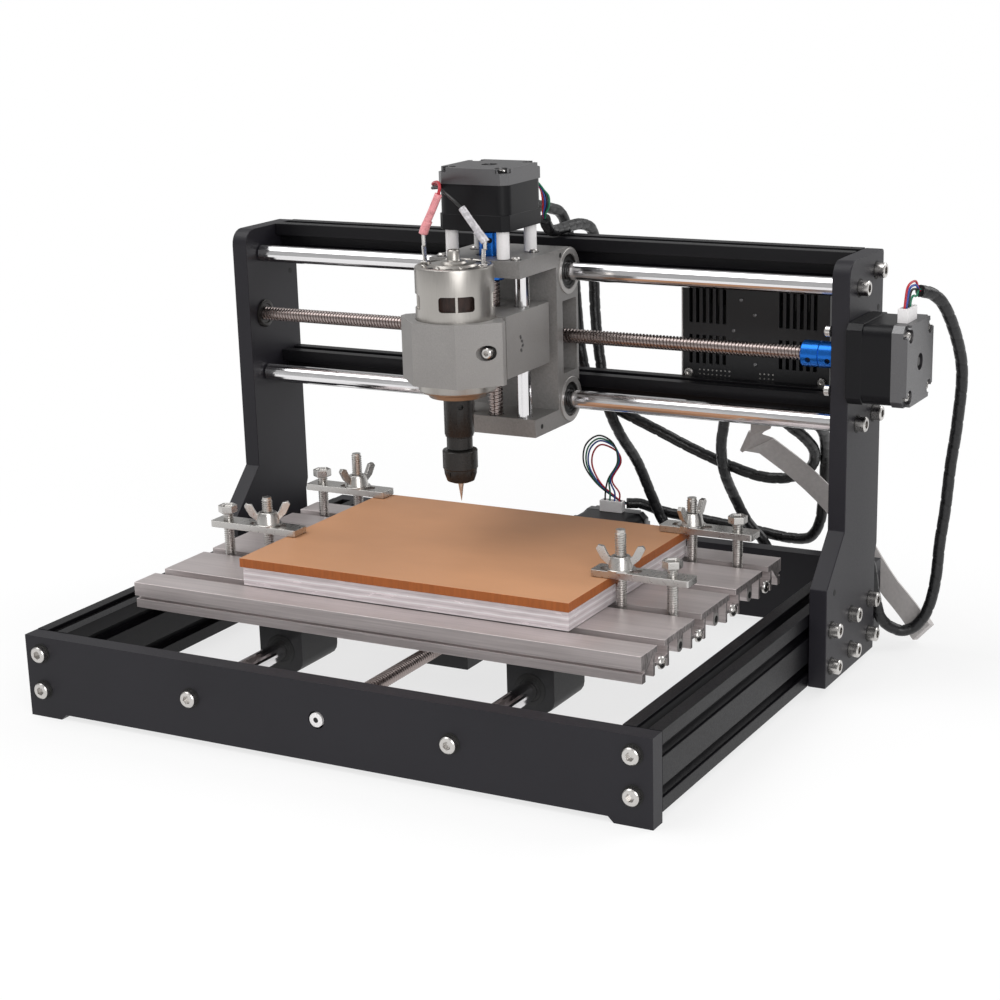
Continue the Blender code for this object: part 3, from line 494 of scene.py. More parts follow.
def slab_finish(name, colour):
    """Translucent stacked sheets: milky, with bright and dark glue lines round the edges."""
    graph = Graph(name)
    parts = graph.node("ShaderNodeSeparateXYZ")
    graph.link(graph.mapped(), parts.inputs[0])
    smear = graph.noise(graph.mapped((0.2, 0.2, 1.0)), 260.0, 4.0)
    cloud = graph.noise(graph.mapped(), 60.0, 3.0)
    wander = graph.math("MULTIPLY", graph.math("SUBTRACT", cloud, 0.5), 0.0009)
    height = graph.math("ADD", parts.outputs[2], wander)
    lines = graph.node("ShaderNodeMath", operation="PINGPONG", in_1=SHEET)
    graph.link(graph.math("SUBTRACT", height, FIRST_SEAM), lines.inputs[0])
    seam = graph.ranged(lines.outputs[0], 0.0, 0.0006, 1.0, 0.0)
    shade = graph.ranged(lines.outputs[0], 0.0010, SHEET, 0.0, 0.55)
    body = graph.tinted(smear, 0.35, 0.65, colour, 0.84, 1.1)
    tint = graph.blend(shade, body, scaled(colour, 0.62))
    tint = graph.blend(seam, tint, (0.95, 0.93, 0.94))
    rough = graph.ranged(smear, 0.3, 0.7, 0.14, 0.3)
    return graph.surface(tint, rough, graph.bump(smear, 0.05 * MM), 0.0, 0.5, transmission_weight=0.15)


def make_looks(colours):
    """Every finish of the machine, by the name that the pieces use."""
    plate, casting = tuple(colours.plate), tuple(colours.casting)
    rod = (0.8, 0.79, 0.8)
    # Material, colour, roughness, metallic, grain scale, relief in millimetres, swing of the roughness,
    # shade of the colour, and for some the stretch of the grain.
    finishes = {
        "plate": ("black_anodised", plate, 0.46, 0.0, 2600.0, 0.02, 0.06, 0.2),
        "profile": ("black_profile", scaled(plate, 0.35), 0.42, 0.0, 1500.0, 0.03, 0.08, 0.3),
        "casting": ("cast_aluminium", casting, 0.52, 0.35, 2200.0, 0.06, 0.1, 0.2),
        # The carriage takes the mount's casting colour darkened: painted shade on the same cast metal.
        "cast_painted_shade": ("carriage_casting", scaled(casting, 0.72), 0.42, 0.1, 900.0, 0.05, 0.1, 0.2),
        "machined": ("machined_aluminium", scaled(casting, 1.3), 0.36, 0.5, 1500.0, 0.02, 0.08, 0.12),
        "chrome": ("polished_rod", rod, 0.13, 1.0, 700.0, 0.004, 0.05, 0.06, (0.05, 1, 1)),
        "chrome_y": ("polished_rod_y", rod, 0.13, 1.0, 700.0, 0.004, 0.05, 0.06, (1, 0.05, 1)),
        "chrome_z": ("polished_rod_z", rod, 0.13, 1.0, 700.0, 0.004, 0.05, 0.06, (1, 1, 0.05)),
        # The winding's near-black brown is partly its own copper colour and partly painted shade inside the
        # can.
        "winding": ("copper_winding", (0.025, 0.012, 0.009), 0.4, 0.4, 420.0, 0.3, 0.1, 0.9, (1, 1, 0.3)),
        "boot_red": ("red_boot", (0.75, 0.28, 0.3), 0.3, 0.0, 500.0, 0.05, 0.08, 0.4),
        "boot_clear": ("clear_boot", (0.5, 0.48, 0.5), 0.25, 0.1, 420.0, 0.06, 0.08, 0.5),
        "wire_red": ("red_insulation", (0.4, 0.008, 0.02), 0.35, 0.0, 900.0, 0.01, 0.06, 0.15),
        "wire_blue": ("blue_insulation", (0.015, 0.06, 0.3), 0.35, 0.0, 900.0, 0.01, 0.06, 0.15),
        "wire_black": ("black_insulation", (0.012, 0.012, 0.012), 0.35, 0.0, 900.0, 0.01, 0.06, 0.15),
        "wire_green": ("green_insulation", (0.01, 0.16, 0.08), 0.35, 0.0, 900.0, 0.01, 0.06, 0.15),
        "lead": ("rolled_thread", (0.37, 0.315, 0.3), 0.28, 1.0, 500.0, 0.004, 0.06, 0.12),
        "steel": ("bright_steel", (0.6, 0.58, 0.56), 0.27, 1.0, 500.0, 0.0025, 0.06, 0.09),
        "zinc": ("zinc_plate", (0.56, 0.545, 0.525), 0.3, 1.0, 420.0, 0.0025, 0.06, 0.08),
        "nickel": ("satin_nickel", (0.43, 0.41, 0.385), 0.34, 1.0, 1500.0, 0.012, 0.06, 0.08, (1, 1, 0.08)),
        "oxide": ("black_oxide", (0.028, 0.026, 0.025), 0.34, 0.6, 1300.0, 0.02, 0.1, 0.3),
        "motor": ("motor_black", (0.0035, 0.0033, 0.0045), 0.36, 0.0, 1700.0, 0.03, 0.06, 0.3),
        "cap": ("motor_cap", (0.022, 0.02, 0.024), 0.34, 0.3, 2100.0, 0.05, 0.08, 0.2),
        "shell": ("case_black", (0.009, 0.009, 0.0105), 0.5, 0.0, 2300.0, 0.03, 0.08, 0.25),
        "rubber": ("black_rubber", (0.011, 0.011, 0.011), 0.6, 0.0, 1900.0, 0.02, 0.08, 0.3),
        "blue": ("blue_anodised", tuple(colours.coupling), 0.24, 0.8, 500.0, 0.004, 0.05, 0.08),
        "nylon": ("white_nylon", (0.8, 0.78, 0.78), 0.45, 0.0, 900.0, 0.01, 0.08, 0.05),
        # Near-black painted shade for holes, pits, bores and counterbores; the coupling's black set screws
        # use it too.
        "dark": ("shadow_hole", (0.004, 0.004, 0.004), 0.7, 0.0, 900.0, 0.01, 0.05, 0.2),
        "ribbon": ("ribbon_grey", (0.56, 0.53, 0.52), 0.6, 0.0, 500.0, 0.03, 0.06, 0.12),
    }
    sheen = {"plate": 0.3, "profile": 0.22, "motor": 0.22, "cap": 1.0}
    for look, values in finishes.items():
        LOOKS[look] = grained(*values, specular=sheen.get(look, 0.5))
    LOOKS["cap"].node_tree.nodes["Principled BSDF"].inputs["IOR"].default_value = 1.85
    LOOKS["bed"] = bed_metal("drawn_aluminium", tuple(colours.bed))
    LOOKS["board"] = board_finish("coated_board", tuple(colours.board), (0.36, 0.1, 0.02))
    LOOKS["slab"] = slab_finish("milky_slab", (0.78, 0.7, 0.72))
    LOOKS["cable"] = cable_wrap("wrapped_sleeve", (0.009, 0.009, 0.01), 0.34)


# ---------------------------------------------------------------- cords


def smooth_path(route, spacing):
    """Points at even spacing along a centripetal Catmull-Rom curve through a route in millimetres."""
    knots = [Vector(place) for place in route]
    knots = [knots[0] * 2 - knots[1]] + knots + [knots[-1] * 2 - knots[-2]]
    fine = []
    for index in range(1, len(knots) - 2):
        p0, p1, p2, p3 = knots[index - 1 : index + 3]
        t1 = max((p1 - p0).length, 1e-6) ** 0.5
        t2 = t1 + max((p2 - p1).length, 1e-6) ** 0.5
        t3 = t2 + max((p3 - p2).length, 1e-6) ** 0.5
        for step in range(16):
            t = t1 + (t2 - t1) * step / 16
            a1 = p0 * ((t1 - t) / t1) + p1 * (t / t1)
            a2 = p1 * ((t2 - t) / (t2 - t1)) + p2 * ((t - t1) / (t2 - t1))
            a3 = p2 * ((t3 - t) / (t3 - t2)) + p3 * ((t - t2) / (t3 - t2))
            b1 = a1 * ((t2 - t) / t2) + a2 * (t / t2)
            b2 = a2 * ((t3 - t) / (t3 - t1)) + a3 * ((t - t1) / (t3 - t1))
            fine.append(b1 * ((t2 - t) / (t2 - t1)) + b2 * ((t - t1) / (t2 - t1)))
    fine.append(knots[-2])
    lengths = [0.0]
    for one, two in zip(fine, fine[1:]):
        lengths.append(lengths[-1] + (two - one).length)
    count = max(2, round(lengths[-1] / spacing))
    found = []
    index = 0
    for step in range(count + 1):
        wanted = lengths[-1] * step / count
        while index < len(fine) - 2 and lengths[index + 1] < wanted:
            index += 1
        share = (wanted - lengths[index]) / max(lengths[index + 1] - lengths[index], 1e-9)
        found.append(spot(*fine[index].lerp(fine[index + 1], share)))
    return found


GROOVE_WIDTH = 0.07  # of a sleeve's groove, as a share of its pitch


def tube(name, points, radius, sides=16, pitch=0.0, groove=0.0):
    """A closed tube along points, with a helical groove of a given pitch in millimetres."""
    mesh = bmesh.new()
    map_layer = mesh.loops.layers.uv.new("wrap")
    ahead = (points[1] - points[0]).normalized()
    side = ahead.orthogonal().normalized()
    rings = []
    travelled = 0.0
    places = []
    for index, place in enumerate(points):
        last = points[max(index - 1, 0)]
        following = points[min(index + 1, len(points) - 1)]
        ahead = (following - last).normalized()
        side = (side - ahead * side.dot(ahead)).normalized()
        other = ahead.cross(side)
        travelled += (place - last).length / MM
        ring = []
        for step in range(sides):
            angle = 2 * math.pi * step / sides
            reach = radius * MM
            if pitch:
                phase = (travelled / pitch + step / sides) % 1.0
                reach *= 1.0 - groove * math.exp(-(((phase - 0.5) / GROOVE_WIDTH) ** 2))
            ring.append(mesh.verts.new(place + (side * math.cos(angle) + other * math.sin(angle)) * reach))
        rings.append(ring)
        places.append(travelled / (pitch or 10.0))
    for index, (ring, next_ring) in enumerate(zip(rings, rings[1:])):
        for step in range(sides):
            after = (step + 1) % sides
            face = mesh.faces.new((ring[step], ring[after], next_ring[after], next_ring[step]))
            face.smooth = True
            spots = ((index, step), (index, step + 1), (index + 1, step + 1), (index + 1, step))
            for loop, (row, column) in zip(face.loops, spots):
                loop[map_layer].uv = (places[row], column / sides)
    mesh.faces.new(list(reversed(rings[0])))
    mesh.faces.new(rings[-1])
    bmesh.ops.recalc_face_normals(mesh, faces=mesh.faces)
    data = bpy.data.meshes.new(name)
    mesh.to_mesh(data)
    mesh.free()
    obj = bpy.data.objects.new(name, data)
    bpy.context.scene.collection.objects.link(obj)
    return obj


ROUTES = {
    "x_motor_cable": (
        (219.5, 246.0, 209.5), (223.5, 254.0, 207.0), (227.4, 263.0, 199.5), (231.2, 285.0, 164.8),
        (227.6, 293.0, 130.8), (223.2, 298.0, 105.5), (221.0, 298.0, 80.0), (218.6, 298.0, 60.6),
        (217.3, 297.5, 41.4), (215.0, 297.0, 27.7), (211.4, 296.0, 17.7), (205.7, 294.5, 10.9),
        (200.1, 292.5, 9.1), (195.2, 290.0, 11.0), (190.0, 286.0, 17.0), (187.2, 281.5, 33.0),
        (184.0, 281.0, 50.0), (174.0, 284.0, 62.0), (170.0, 287.0, 80.0), (171.0, 287.0, 130.0),
        (172.4, 286.0, 147.0), (169.4, 285.2, 160.4), (161.9, 285.0, 160.8),
    ),
    "y_motor_cable": (
        (8.0, 338.5, 51.5), (16.0, 342.5, 51.0), (27.2, 345.0, 47.4), (61.8, 345.0, 44.2),
        (90.0, 345.0, 41.7), (116.1, 342.0, 40.4), (127.0, 340.0, 43.0), (133.4, 338.5, 53.0),
        (135.4, 338.5, 72.0), (138.0, 334.0, 93.0), (142.5, 318.0, 112.0), (142.5, 300.0, 123.5),
        (141.0, 290.2, 129.0), (141.0, 289.6, 133.2),
    ),
    "z_motor_cable": (
        (11.6, 230.4, 240.0), (10.4, 235.6, 235.2), (9.0, 243.0, 231.8), (7.6, 252.0, 230.5),
        (6.8, 262.0, 230.4), (6.6, 273.0, 230.4), (7.0, 285.0, 229.6), (7.4, 296.0, 225.6),
        (6.0, 304.0, 215.0), (3.5, 307.0, 197.0), (5.0, 305.5, 170.0), (9.5, 302.5, 144.0),
        (15.0, 300.5, 120.0), (18.8, 307.4, 103.3), (21.6, 325.6, 82.0), (26.4, 336.2, 58.0),
        (31.6, 339.0, 44.0), (37.7, 340.0, 34.6), (50.0, 344.0, 25.0), (70.0, 346.0, 20.0),
        (89.0, 345.0, 21.5), (101.0, 340.0, 28.0), (100.1, 334.0, 38.9), (89.8, 334.5, 49.4),
        (83.4, 330.6, 64.0), (81.7, 317.4, 83.6), (84.5, 306.0, 102.4), (90.0, 297.0, 118.9),
        (92.3, 290.6, 128.0), (92.5, 289.6, 133.2),
    ),
    "spindle_cable": (
        (-22.0, 224.0, 262.0), (-20.5, 240.0, 259.0), (-17.5, 256.0, 250.0), (-15.5, 270.0, 242.0),
        (-14.2, 285.0, 238.0), (-13.2, 298.0, 233.5), (-12.4, 306.5, 220.0), (-11.2, 309.5, 200.0),
        (-9.0, 309.0, 175.0), (-6.0, 308.0, 150.0), (-1.0, 309.0, 131.0), (9.1, 309.5, 120.3),
        (21.5, 311.0, 114.5), (41.2, 315.0, 105.0), (60.2, 322.0, 94.2), (83.7, 326.5, 84.5),
        (101.5, 329.5, 79.6), (118.0, 331.0, 80.8), (129.5, 332.6, 87.5), (135.0, 323.6, 99.4),
        (133.5, 310.0, 111.0), (128.5, 298.0, 120.5), (126.5, 290.2, 128.0), (126.5, 289.6, 133.2),
    ),
}
CABLE_RADIUS = 3.25
SLEEVE_PITCH = 8.5
SLEEVE_GROOVE = 0.14
# The cables that move with the carriage, each with two places that are not used; they are left on no body.
BENDS = {
    "z_motor_cable": (spot(0.0, 300.0, 187.0), spot(87.9, 300.0, 128.4)),
    "spindle_cable": (spot(0.0, 300.0, 250.0), spot(120.0, 300.0, 170.0)),
}


def make_cables():
    """The four sleeved cables, each the length of its route."""
    for node, route in ROUTES.items():
        points = smooth_path(route[:-1], 1.3) + [spot(*route[-1])]
        piece = tube(node + "_sleeve", points, CABLE_RADIUS, 16, SLEEVE_PITCH, SLEEVE_GROOVE)
        piece.data.materials.append(LOOKS["cable"])
        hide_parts(node)
        if node in BENDS:
            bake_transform(piece)
        else:
            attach(piece, "frame")


# ---------------------------------------------------------------- fasteners, threads, motors


def rounded(name, size, low, corner, segments=1):
    """A plate along +Z with its upright edges cut or rounded, in millimetres."""
    obj = slab(name, size, low, 0)
    edit(obj)
    bpy.ops.mesh.select_all(action="DESELECT")
    bpy.ops.mesh.select_mode(type="EDGE")
    mesh = bmesh.from_edit_mesh(obj.data)
    for edge in mesh.edges:
        if abs((edge.verts[0].co - edge.verts[1].co).z) > 1e-6:
            edge.select_set(True)
    bmesh.update_edit_mesh(obj.data)
    bpy.ops.mesh.bevel(offset=corner * MM, segments=segments, affect="EDGES")
    leave()
    return obj


def thread(name, outer, root, pitch, starts, length, steps=14):
    """A threaded bar along +Z: a ridge profile swept up a helix round a plain core."""
    deselect()
    bpy.ops.mesh.primitive_plane_add(size=0.001, location=(0, 0, 0))
    ridge = bpy.context.active_object
    edit(ridge)
    bpy.ops.mesh.select_mode(type="VERT")
    bpy.ops.mesh.select_all(action="SELECT")
    bpy.ops.mesh.merge(type="CENTER")
    bpy.ops.transform.translate(value=(root * MM, 0, 0))
    rise = pitch * MM
    reach = (outer - root) * MM
    for _ in range(starts):
        for out, up in ((0, 0.16), (reach, 0.2), (0, 0.28), (-reach, 0.2), (0, 0.16)):
            move = {"value": (out, 0, up * rise)}
            bpy.ops.mesh.extrude_region_move(TRANSFORM_OT_translate=move)
    bpy.ops.object.mode_set(mode="OBJECT")
    screw = ridge.modifiers.new("helix", "SCREW")
    screw.axis = "Z"
    screw.angle = 2 * math.pi
    screw.screw_offset = starts * rise
    screw.iterations = max(1, int(length / (starts * pitch)) - 1)
    screw.steps = screw.render_steps = steps
    screw.use_merge_vertices = False
    apply_all(ridge)
    edit(ridge)
    leave()
    smooth(ridge, 40.0)
    core = turned("core", ((root + 0.04, 0.0), (root + 0.04, length)), 24)
    return join(name, [ridge, core])


def socket_screw(name, radius, height, socket):
    """Head of a socket cap screw standing on z = 0."""
    head = turned(name, ((radius, 0.0), (radius, height - 0.5), (radius - 0.5, height)), 32)
    deselect()
    bpy.ops.mesh.primitive_cylinder_add(
        vertices=6, radius=socket * MM, depth=height * 1.1 * MM, location=(0, 0, height * MM)
    )
    cut(head, bpy.context.active_object)
    smooth(head)
    return head


def screws(name, body, places, radius, height, socket, look="steel", ring=1.1, *replaced):
    """Socket cap screws at (place, direction), with a dark ring round each head that paints the shadow of the
    counterbore it sits in.
    """
    spots = [(place, direction, 11.0 * index) for index, (place, direction) in enumerate(places)]
    heads = spread(name, socket_screw("head", radius, height, socket), spots)
    finish(heads, look, body, None, *replaced)
    if ring:
        # Painted shadow: a near-black ring, wider than the head by ring, round each screw.
        scatter(name + "_rings", body, "dark", ((radius + ring, 0.0), (radius + ring, 0.12)), 32, spots)


def disc(name, body, place, direction, rings, look, segments=32):
    """One turned piece at a place, along a direction."""
    return finish(put(turned(name, rings, segments), place, direction), look, body)


def motor(node, body, place, direction, length):
    """Square stepper motor: mounting end, stator, rear cap with four screws and its bearing seat."""
    half = MOTOR_SIDE / 2
    front = rounded("front", (MOTOR_SIDE, MOTOR_SIDE, 8.6), (-half, -half, 0.0), 3.4)
    soften(front, 0.4)
    middle = rounded("middle", (41.9, 41.9, length - 16.6), (-20.95, -20.95, 8.3), 6.2, 4)
    soften(middle, 0.15)
    boss = turned("boss", ((11.0, -1.8), (11.0, 0.4)))
    case = put(join(node + "_case", [front, middle, boss]), place, direction)
    finish(case, "motor", body, "motor_black", node)
    cap = rounded("cap", (MOTOR_SIDE, MOTOR_SIDE, 8.5), (-half, -half, length - 8.5), 3.4)
    seat_height = length - 2.4
    offsets = (-MOTOR_SCREW, MOTOR_SCREW)
    corners = [(across, along) for across in offsets for along in offsets]
    for across, along in corners:
        seat = turned("seat", ((3.5, seat_height), (3.5, length + 1)))
        cut(cap, put(seat, Vector((across * MM, along * MM, 0))))
        notch = rounded("notch", (9.0, 9.0, 3.4), (-4.5, -4.5, seat_height), 1.0)
        far = Vector((math.copysign(20.6, across) * MM, math.copysign(20.6, along) * MM, 0))
        cut(cap, put(notch, far, UP, 45.0))
    cut(cap, turned("bore", ((4.4, length - 1.6), (4.4, length + 1))))
    soften(cap, 0.35)
    finish(put(cap, place, direction), "cap", body, "motor_black")
    aim = turn_to(direction)
    ends = []
    for across, along in corners:
        ends.append((place + aim @ Vector((across * MM, along * MM, seat_height * MM)), direction, 20.0))
    head = turned("head", ((2.5, 0.0), (2.5, 0.9), (1.9, 1.6)), 24)
    cut(head, slab("slot", (3.0, 0.6, 1.4), (-1.5, -0.3, 0.7), 0))
    cut(head, slab("slot", (0.6, 3.0, 1.4), (-0.3, -1.5, 0.7), 0))
    finish(spread(node + "_screws", head, ends), "steel", body)
    end = place + aim @ Vector((0, 0, (length - 1.55) * MM))
    # A dark ring paints the shade in the bearing seat of the rear cap.
    disc(node + "_bearing", body, end, direction, ((4.3, 0.0), (4.3, 0.1), (3.4, 0.1), (3.4, -0.3)), "dark")
    disc(node + "_shaft", body, end, direction, ((2.4, -0.2), (2.4, 0.5), (2.1, 0.8)), "oxide")


def plug(name, body, place, direction, size, roll=0.0):
    """White cable connector with its dark mouth."""
    wide, thick, tall = size
    shell = slab(name, (wide, thick, tall), (-wide / 2, -thick / 2, 0), 0.3)
    mouth = (wide - 1.6, thick - 1.6, 2.0)
    cut(shell, slab("mouth", mouth, (0.8 - wide / 2, 0.8 - thick / 2, tall - 1.2), 0))
    cut(shell, slab("key", (wide * 0.3, 1.4, tall), (-wide * 0.15, thick / 2 - 0.7, tall * 0.4), 0))
    finish(put(shell, place, direction, roll), "nylon", body)


def strands(name, body, routes, radius, blended=None):
    """Thin insulated wires, each (route, look)."""
    made = []
    for index, (route, look) in enumerate(routes):
        one = tube(f"{name}_{index}", smooth_path(route, 1.2), radius, 10)
        one.data.materials.append(LOOKS[look])
        made.append(one)
    piece = join(name, made)
    if blended:
        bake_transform(piece)
    else:
        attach(piece, body)


# ---------------------------------------------------------------- groups


def make_plates():
    """Plates, profiles, bed, slide blocks, board and slab with broken edges, and the rods' finishes."""
    for node in ("front_plate", "rear_plate", "upright_left", "upright_right"):
        eased(node, "plate", 0.45)
    for node in ("side_rail_left", "side_rail_right", "cross_beam_lower", "cross_beam_upper"):
        eased(node, "profile", 0.3)
    eased("table", "bed", 0.3)
    for end in ("front", "rear"):
        for side in ("left", "right"):
            eased(f"slide_block_{end}_{side}", "shell", 0.6, 3)
    eased("y_nut_block", "shell", 0.5)
    eased("workpiece_board", "board", 0.35)
    eased("spoil_slab", "slab", 0.3)
    for side in ("left", "right"):
        frame["nodes"]["y_rod_" + side].data.materials[0] = LOOKS["chrome_y"]
        frame["nodes"]["z_rod_" + side].data.materials[0] = LOOKS["chrome_z"]
    seals = []
    for x in (-Y_ROD_X, Y_ROD_X):
        for y in (81.3, 172.9):
            seals.append((spot(x, y, Y_SCREW_HEIGHT), FRONT, 0.0))
            seals.append((spot(x, y + SLIDE_BLOCK_LENGTH, Y_SCREW_HEIGHT), BACK, 0.0))
    rings = ((8.6, -0.2), (8.6, 0.2), (8.2, 0.38), (6.3, 0.38), (6.0, 0.1))
    scatter("slide_seals", "y_table", "rubber", rings, 36, seals)


def make_fasteners():
    """Socket cap screws of the frame, spare holes, and the fixed rings of the lead screws."""
    ends = [(side * 171.0, height) for side in (-1, 1) for height in RAIL_SLOTS]
    ends += [(side * Y_ROD_X, Y_SCREW_HEIGHT) for side in (-1, 1)]
    front = [(spot(x, 0, z), FRONT) for x, z in ends]
    rear = [(spot(x, FRAME_DEPTH, z), BACK) for x, z in ends]
    screws("front_screws", "frame", front, 4.3, 3.6, 2.3, "steel", 1.1, "front_rod_screw")
    screws("rear_screws", "frame", rear, 4.3, 3.8, 2.3)
    side = [(y, z) for y in UPRIGHT_SCREWS for z in RAIL_SLOTS]
    side += [(ROD_Y, height) for height in X_ROD_HEIGHTS] + [(261.3, 216.5), (261.3, 140.1)]
    left = [(spot(-UPRIGHT_OUT, y, z), LEFT) for y, z in side]
    right = [(spot(UPRIGHT_OUT, y, z), RIGHT) for y, z in side]
    screws("left_screws", "frame", left, 4.2, 3.7, 2.3, "steel", 1.1, "side_beam_screw")
    screws("right_screws", "frame", right, 4.0, 5.2, 2.3, "steel", 0.9)
    mounts = [(across, up) for across in (-MOTOR_HOLE, MOTOR_HOLE) for up in (-MOTOR_HOLE, MOTOR_HOLE)]
    inner = [(spot(x, REAR_PLATE_Y, Y_SCREW_HEIGHT + z), FRONT) for x, z in mounts]
    screws("y_motor_mounts", "frame", inner, 2.7, 3.0, 1.5, "oxide", 0)
    inner = [(spot(UPRIGHT_IN, ROD_Y + y, X_SCREW_HEIGHT + z), LEFT) for y, z in mounts]
    screws("x_motor_mounts", "frame", inner, 2.8, 3.0, 1.5, "steel", 0)
    # Dark discs paint the shade inside the spare holes.
    spare = [(spot(UPRIGHT_OUT, 265.3, 196.2), RIGHT, 0.0), (spot(UPRIGHT_OUT, 206.5, 55.0), RIGHT, 0.0)]
    spare += [(spot(-UPRIGHT_OUT, 265.3, 196.2), LEFT, 0.0), (spot(-UPRIGHT_IN, 265.3, 196.2), RIGHT, 0.0)]
    scatter("spare_holes", "frame", "dark", ((1.7, 0.0), (1.7, 0.08)), 24, spare)
    rings = ((8.2, 0.0), (8.2, 0.9), (7.6, 1.3), (6.0, 1.3), (5.6, 0.8))
    disc("flange", "frame", spot(-UPRIGHT_IN, ROD_Y, X_SCREW_HEIGHT), RIGHT, rings, "oxide", 36)
    rings = ((3.7, 0.0), (3.7, 0.3), (3.3, 0.55), (1.5, 0.55), (1.4, 0.2))
    tip = spot(0, 0.0, Y_SCREW_HEIGHT)
    disc("front_tip", "frame", tip, FRONT, rings, "nylon")
    # A dark disc paints the shade in the tip's centre hole.
    disc("front_tip_hole", "frame", tip, FRONT, ((1.4, 0.1), (1.4, 0.3)), "dark")


def coupling(node, body, place, aim, length, stub=()):
    """Blue shaft coupling with a groove round its middle and two pairs of set screws."""
    half = length / 2
    rings = ((6.3, 0.0), (7.0, 0.7), (7.0, half - 0.3), (6.7, half), (7.0, half + 0.3))
    rings += ((7.0, length - 0.7), (6.3, length)) + stub
    shell = turned(node + "_shell", rings, 48)
    outwards = Vector((0.35, -1, 0))
    holes = [(turn, along) for turn in (0, 90) for along in (4.6, length - 4.6)]
    for turn, along in holes:
        way = Matrix.Rotation(math.radians(turn), 3, "Z") @ outwards
        cut(shell, put(turned("hole", ((1.55, 0.0), (1.55, 9.0)), 20), Vector((0, 0, along * MM)), way))
    smooth(shell)
    grub = turned("grub", ((1.5, 0.0), (1.5, 0.2)), 18)
    places = []
    for turn, along in holes:
        way = Matrix.Rotation(math.radians(turn), 3, "Z") @ outwards.normalized()
        places.append((Vector((0, 0, along * MM)) + way * 5.0 * MM, way, 0.0))
    # The set screws are black, and their near-black also paints the shade of the holes they sit in.
    finish(put(spread(node + "_grubs", grub, places), place, aim), "dark", body)
    finish(put(shell, place, aim), "blue", body, "blue_aluminium", node)


def make_screws():
    """Lead screws with their threads, and the blue couplings."""
    bar = put(thread("x_thread", *LEAD_SCREW, 356.0), spot(-187.0, ROD_Y, X_SCREW_HEIGHT), RIGHT)
    finish(bar, "lead", "x_screw", "lead_steel", "x_lead_screw")
    front = spot(0, 2.2, Y_SCREW_HEIGHT)
    bar = put(thread("y_thread", *LEAD_SCREW, 277.0), front, BACK)
    tip = put(turned("tip", ((3.7, -0.8), (3.7, 0.4), (1.5, 0.4), (1.5, 0.2))), front, BACK)
    sleeve = ((7.0, 279.3), (7.0, 298.7), (2.5, 299.0), (2.5, 307.8))
    joint = put(turned("joint", sleeve), spot(0, 0, Y_SCREW_HEIGHT), BACK)
    finish(joint, "blue", "y_screw")
    finish(tip, "nylon", "y_screw")
    finish(bar, "lead", "y_screw", "lead_steel", "y_lead_screw")
    bar = put(thread("z_thread", *LEAD_SCREW, 91.0), spot(CARRIAGE_X, Z_SCREW_Y, 130.4))
    finish(bar, "lead", "z_screw", "lead_steel", "z_lead_screw")
    stub = ((2.5, 20.0), (2.5, 28.0))
    coupling("x_coupling", "x_screw", spot(160.7, ROD_Y, X_SCREW_HEIGHT), RIGHT, 20.0, stub)
    coupling("z_coupling", "z_screw", spot(CARRIAGE_X, Z_SCREW_Y, 210.6), UP, 26.6)


def make_motors():
    """The three stepper motors with their connectors and wires."""
    motor("x_motor", "frame", spot(191.3, ROD_Y, X_SCREW_HEIGHT), RIGHT, 32.7)
    motor("y_motor", "frame", spot(0, 310.3, Y_SCREW_HEIGHT), BACK, 34.0)
    motor("z_motor", "x_carriage", spot(CARRIAGE_X, Z_SCREW_Y, 239.5), UP, 32.8)
    plug("x_plug", "frame", spot(217.5, 233.0, 196.0), UP, (15.0, 5.6, 7.4), 90.0)
    plug("y_plug", "frame", spot(-0.5, 336.0, 46.2), UP, (15.0, 5.6, 7.0))
    plug("z_plug", "x_carriage", spot(2.6, 220.0, 260.0), BACK, (13.0, 5.4, 6.6))
    colours = ("wire_red", "wire_blue", "wire_black", "wire_green")
    routes = []
    for index, look in enumerate(colours):
        start = 228.0 + 3.1 * index
        top = 210.5 + (3.4, 2.0, 0.6, -2.6)[index]
        route = (
            (217.5, start, 202.6), (217.6, start + 0.6, 206.0), (218.0, start + 3.2, top),
            (218.9, 241.2 + 0.5 * index, top + 1.2 - 0.6 * index), (219.4, 244.6, 210.6),
            (220.4, 247.8, 209.0),
        )
        routes.append((route, look))
    strands("x_wires", "frame", routes, 0.62)
    routes = []
    for index, look in enumerate(("wire_black", "wire_green", "wire_blue", "wire_red")):
        first = -5.4 + 3.2 * index
        swell = (0.0, 1.8, 3.2, 5.6)[index]
        route = (
            (first, 336.0, 52.6), (first + 0.4, 335.8, 58.0), (-3.0 + swell * 0.5, 335.4, 66.0),
            (3.4 + swell * 0.4, 336.0, 78.0), (0.4 + swell * 0.6, 336.4, 89.0 - swell),
            (-9.5 + swell * 0.3, 337.0, 93.0 - swell), (-19.0 + swell, 337.6, 86.0 - swell * 0.6),
            (-20.6 + swell, 338.0, 74.0), (-13.0 + swell * 0.6, 338.2, 63.0),
            (-2.0 + swell * 0.3, 338.4, 55.4), (7.0, 338.5, 51.9 - 0.3 * index), (10.4, 339.8, 51.4),
        )
        routes.append((route, look))
    strands("y_wires", "frame", routes, 0.55)
    routes = []
    for index, look in enumerate(colours):
        first = -1.6 + 2.8 * index
        route = (
            (first, 226.0, 260.0), (first + 1.2, 228.4, 260.2),
            (9.4 + 1.1 * index, 228.8, 257.6 - 0.8 * index),
            (11.4 + 1.3 * index, 228.6, 252.4), (11.6 + 1.2 * index, 228.8, 247.0),
            (11.2 + 0.5 * index, 229.4, 242.6), (11.2, 231.4, 238.8),
        )
        routes.append((route, look))
    strands("z_wires", "x_carriage", routes, 0.6)


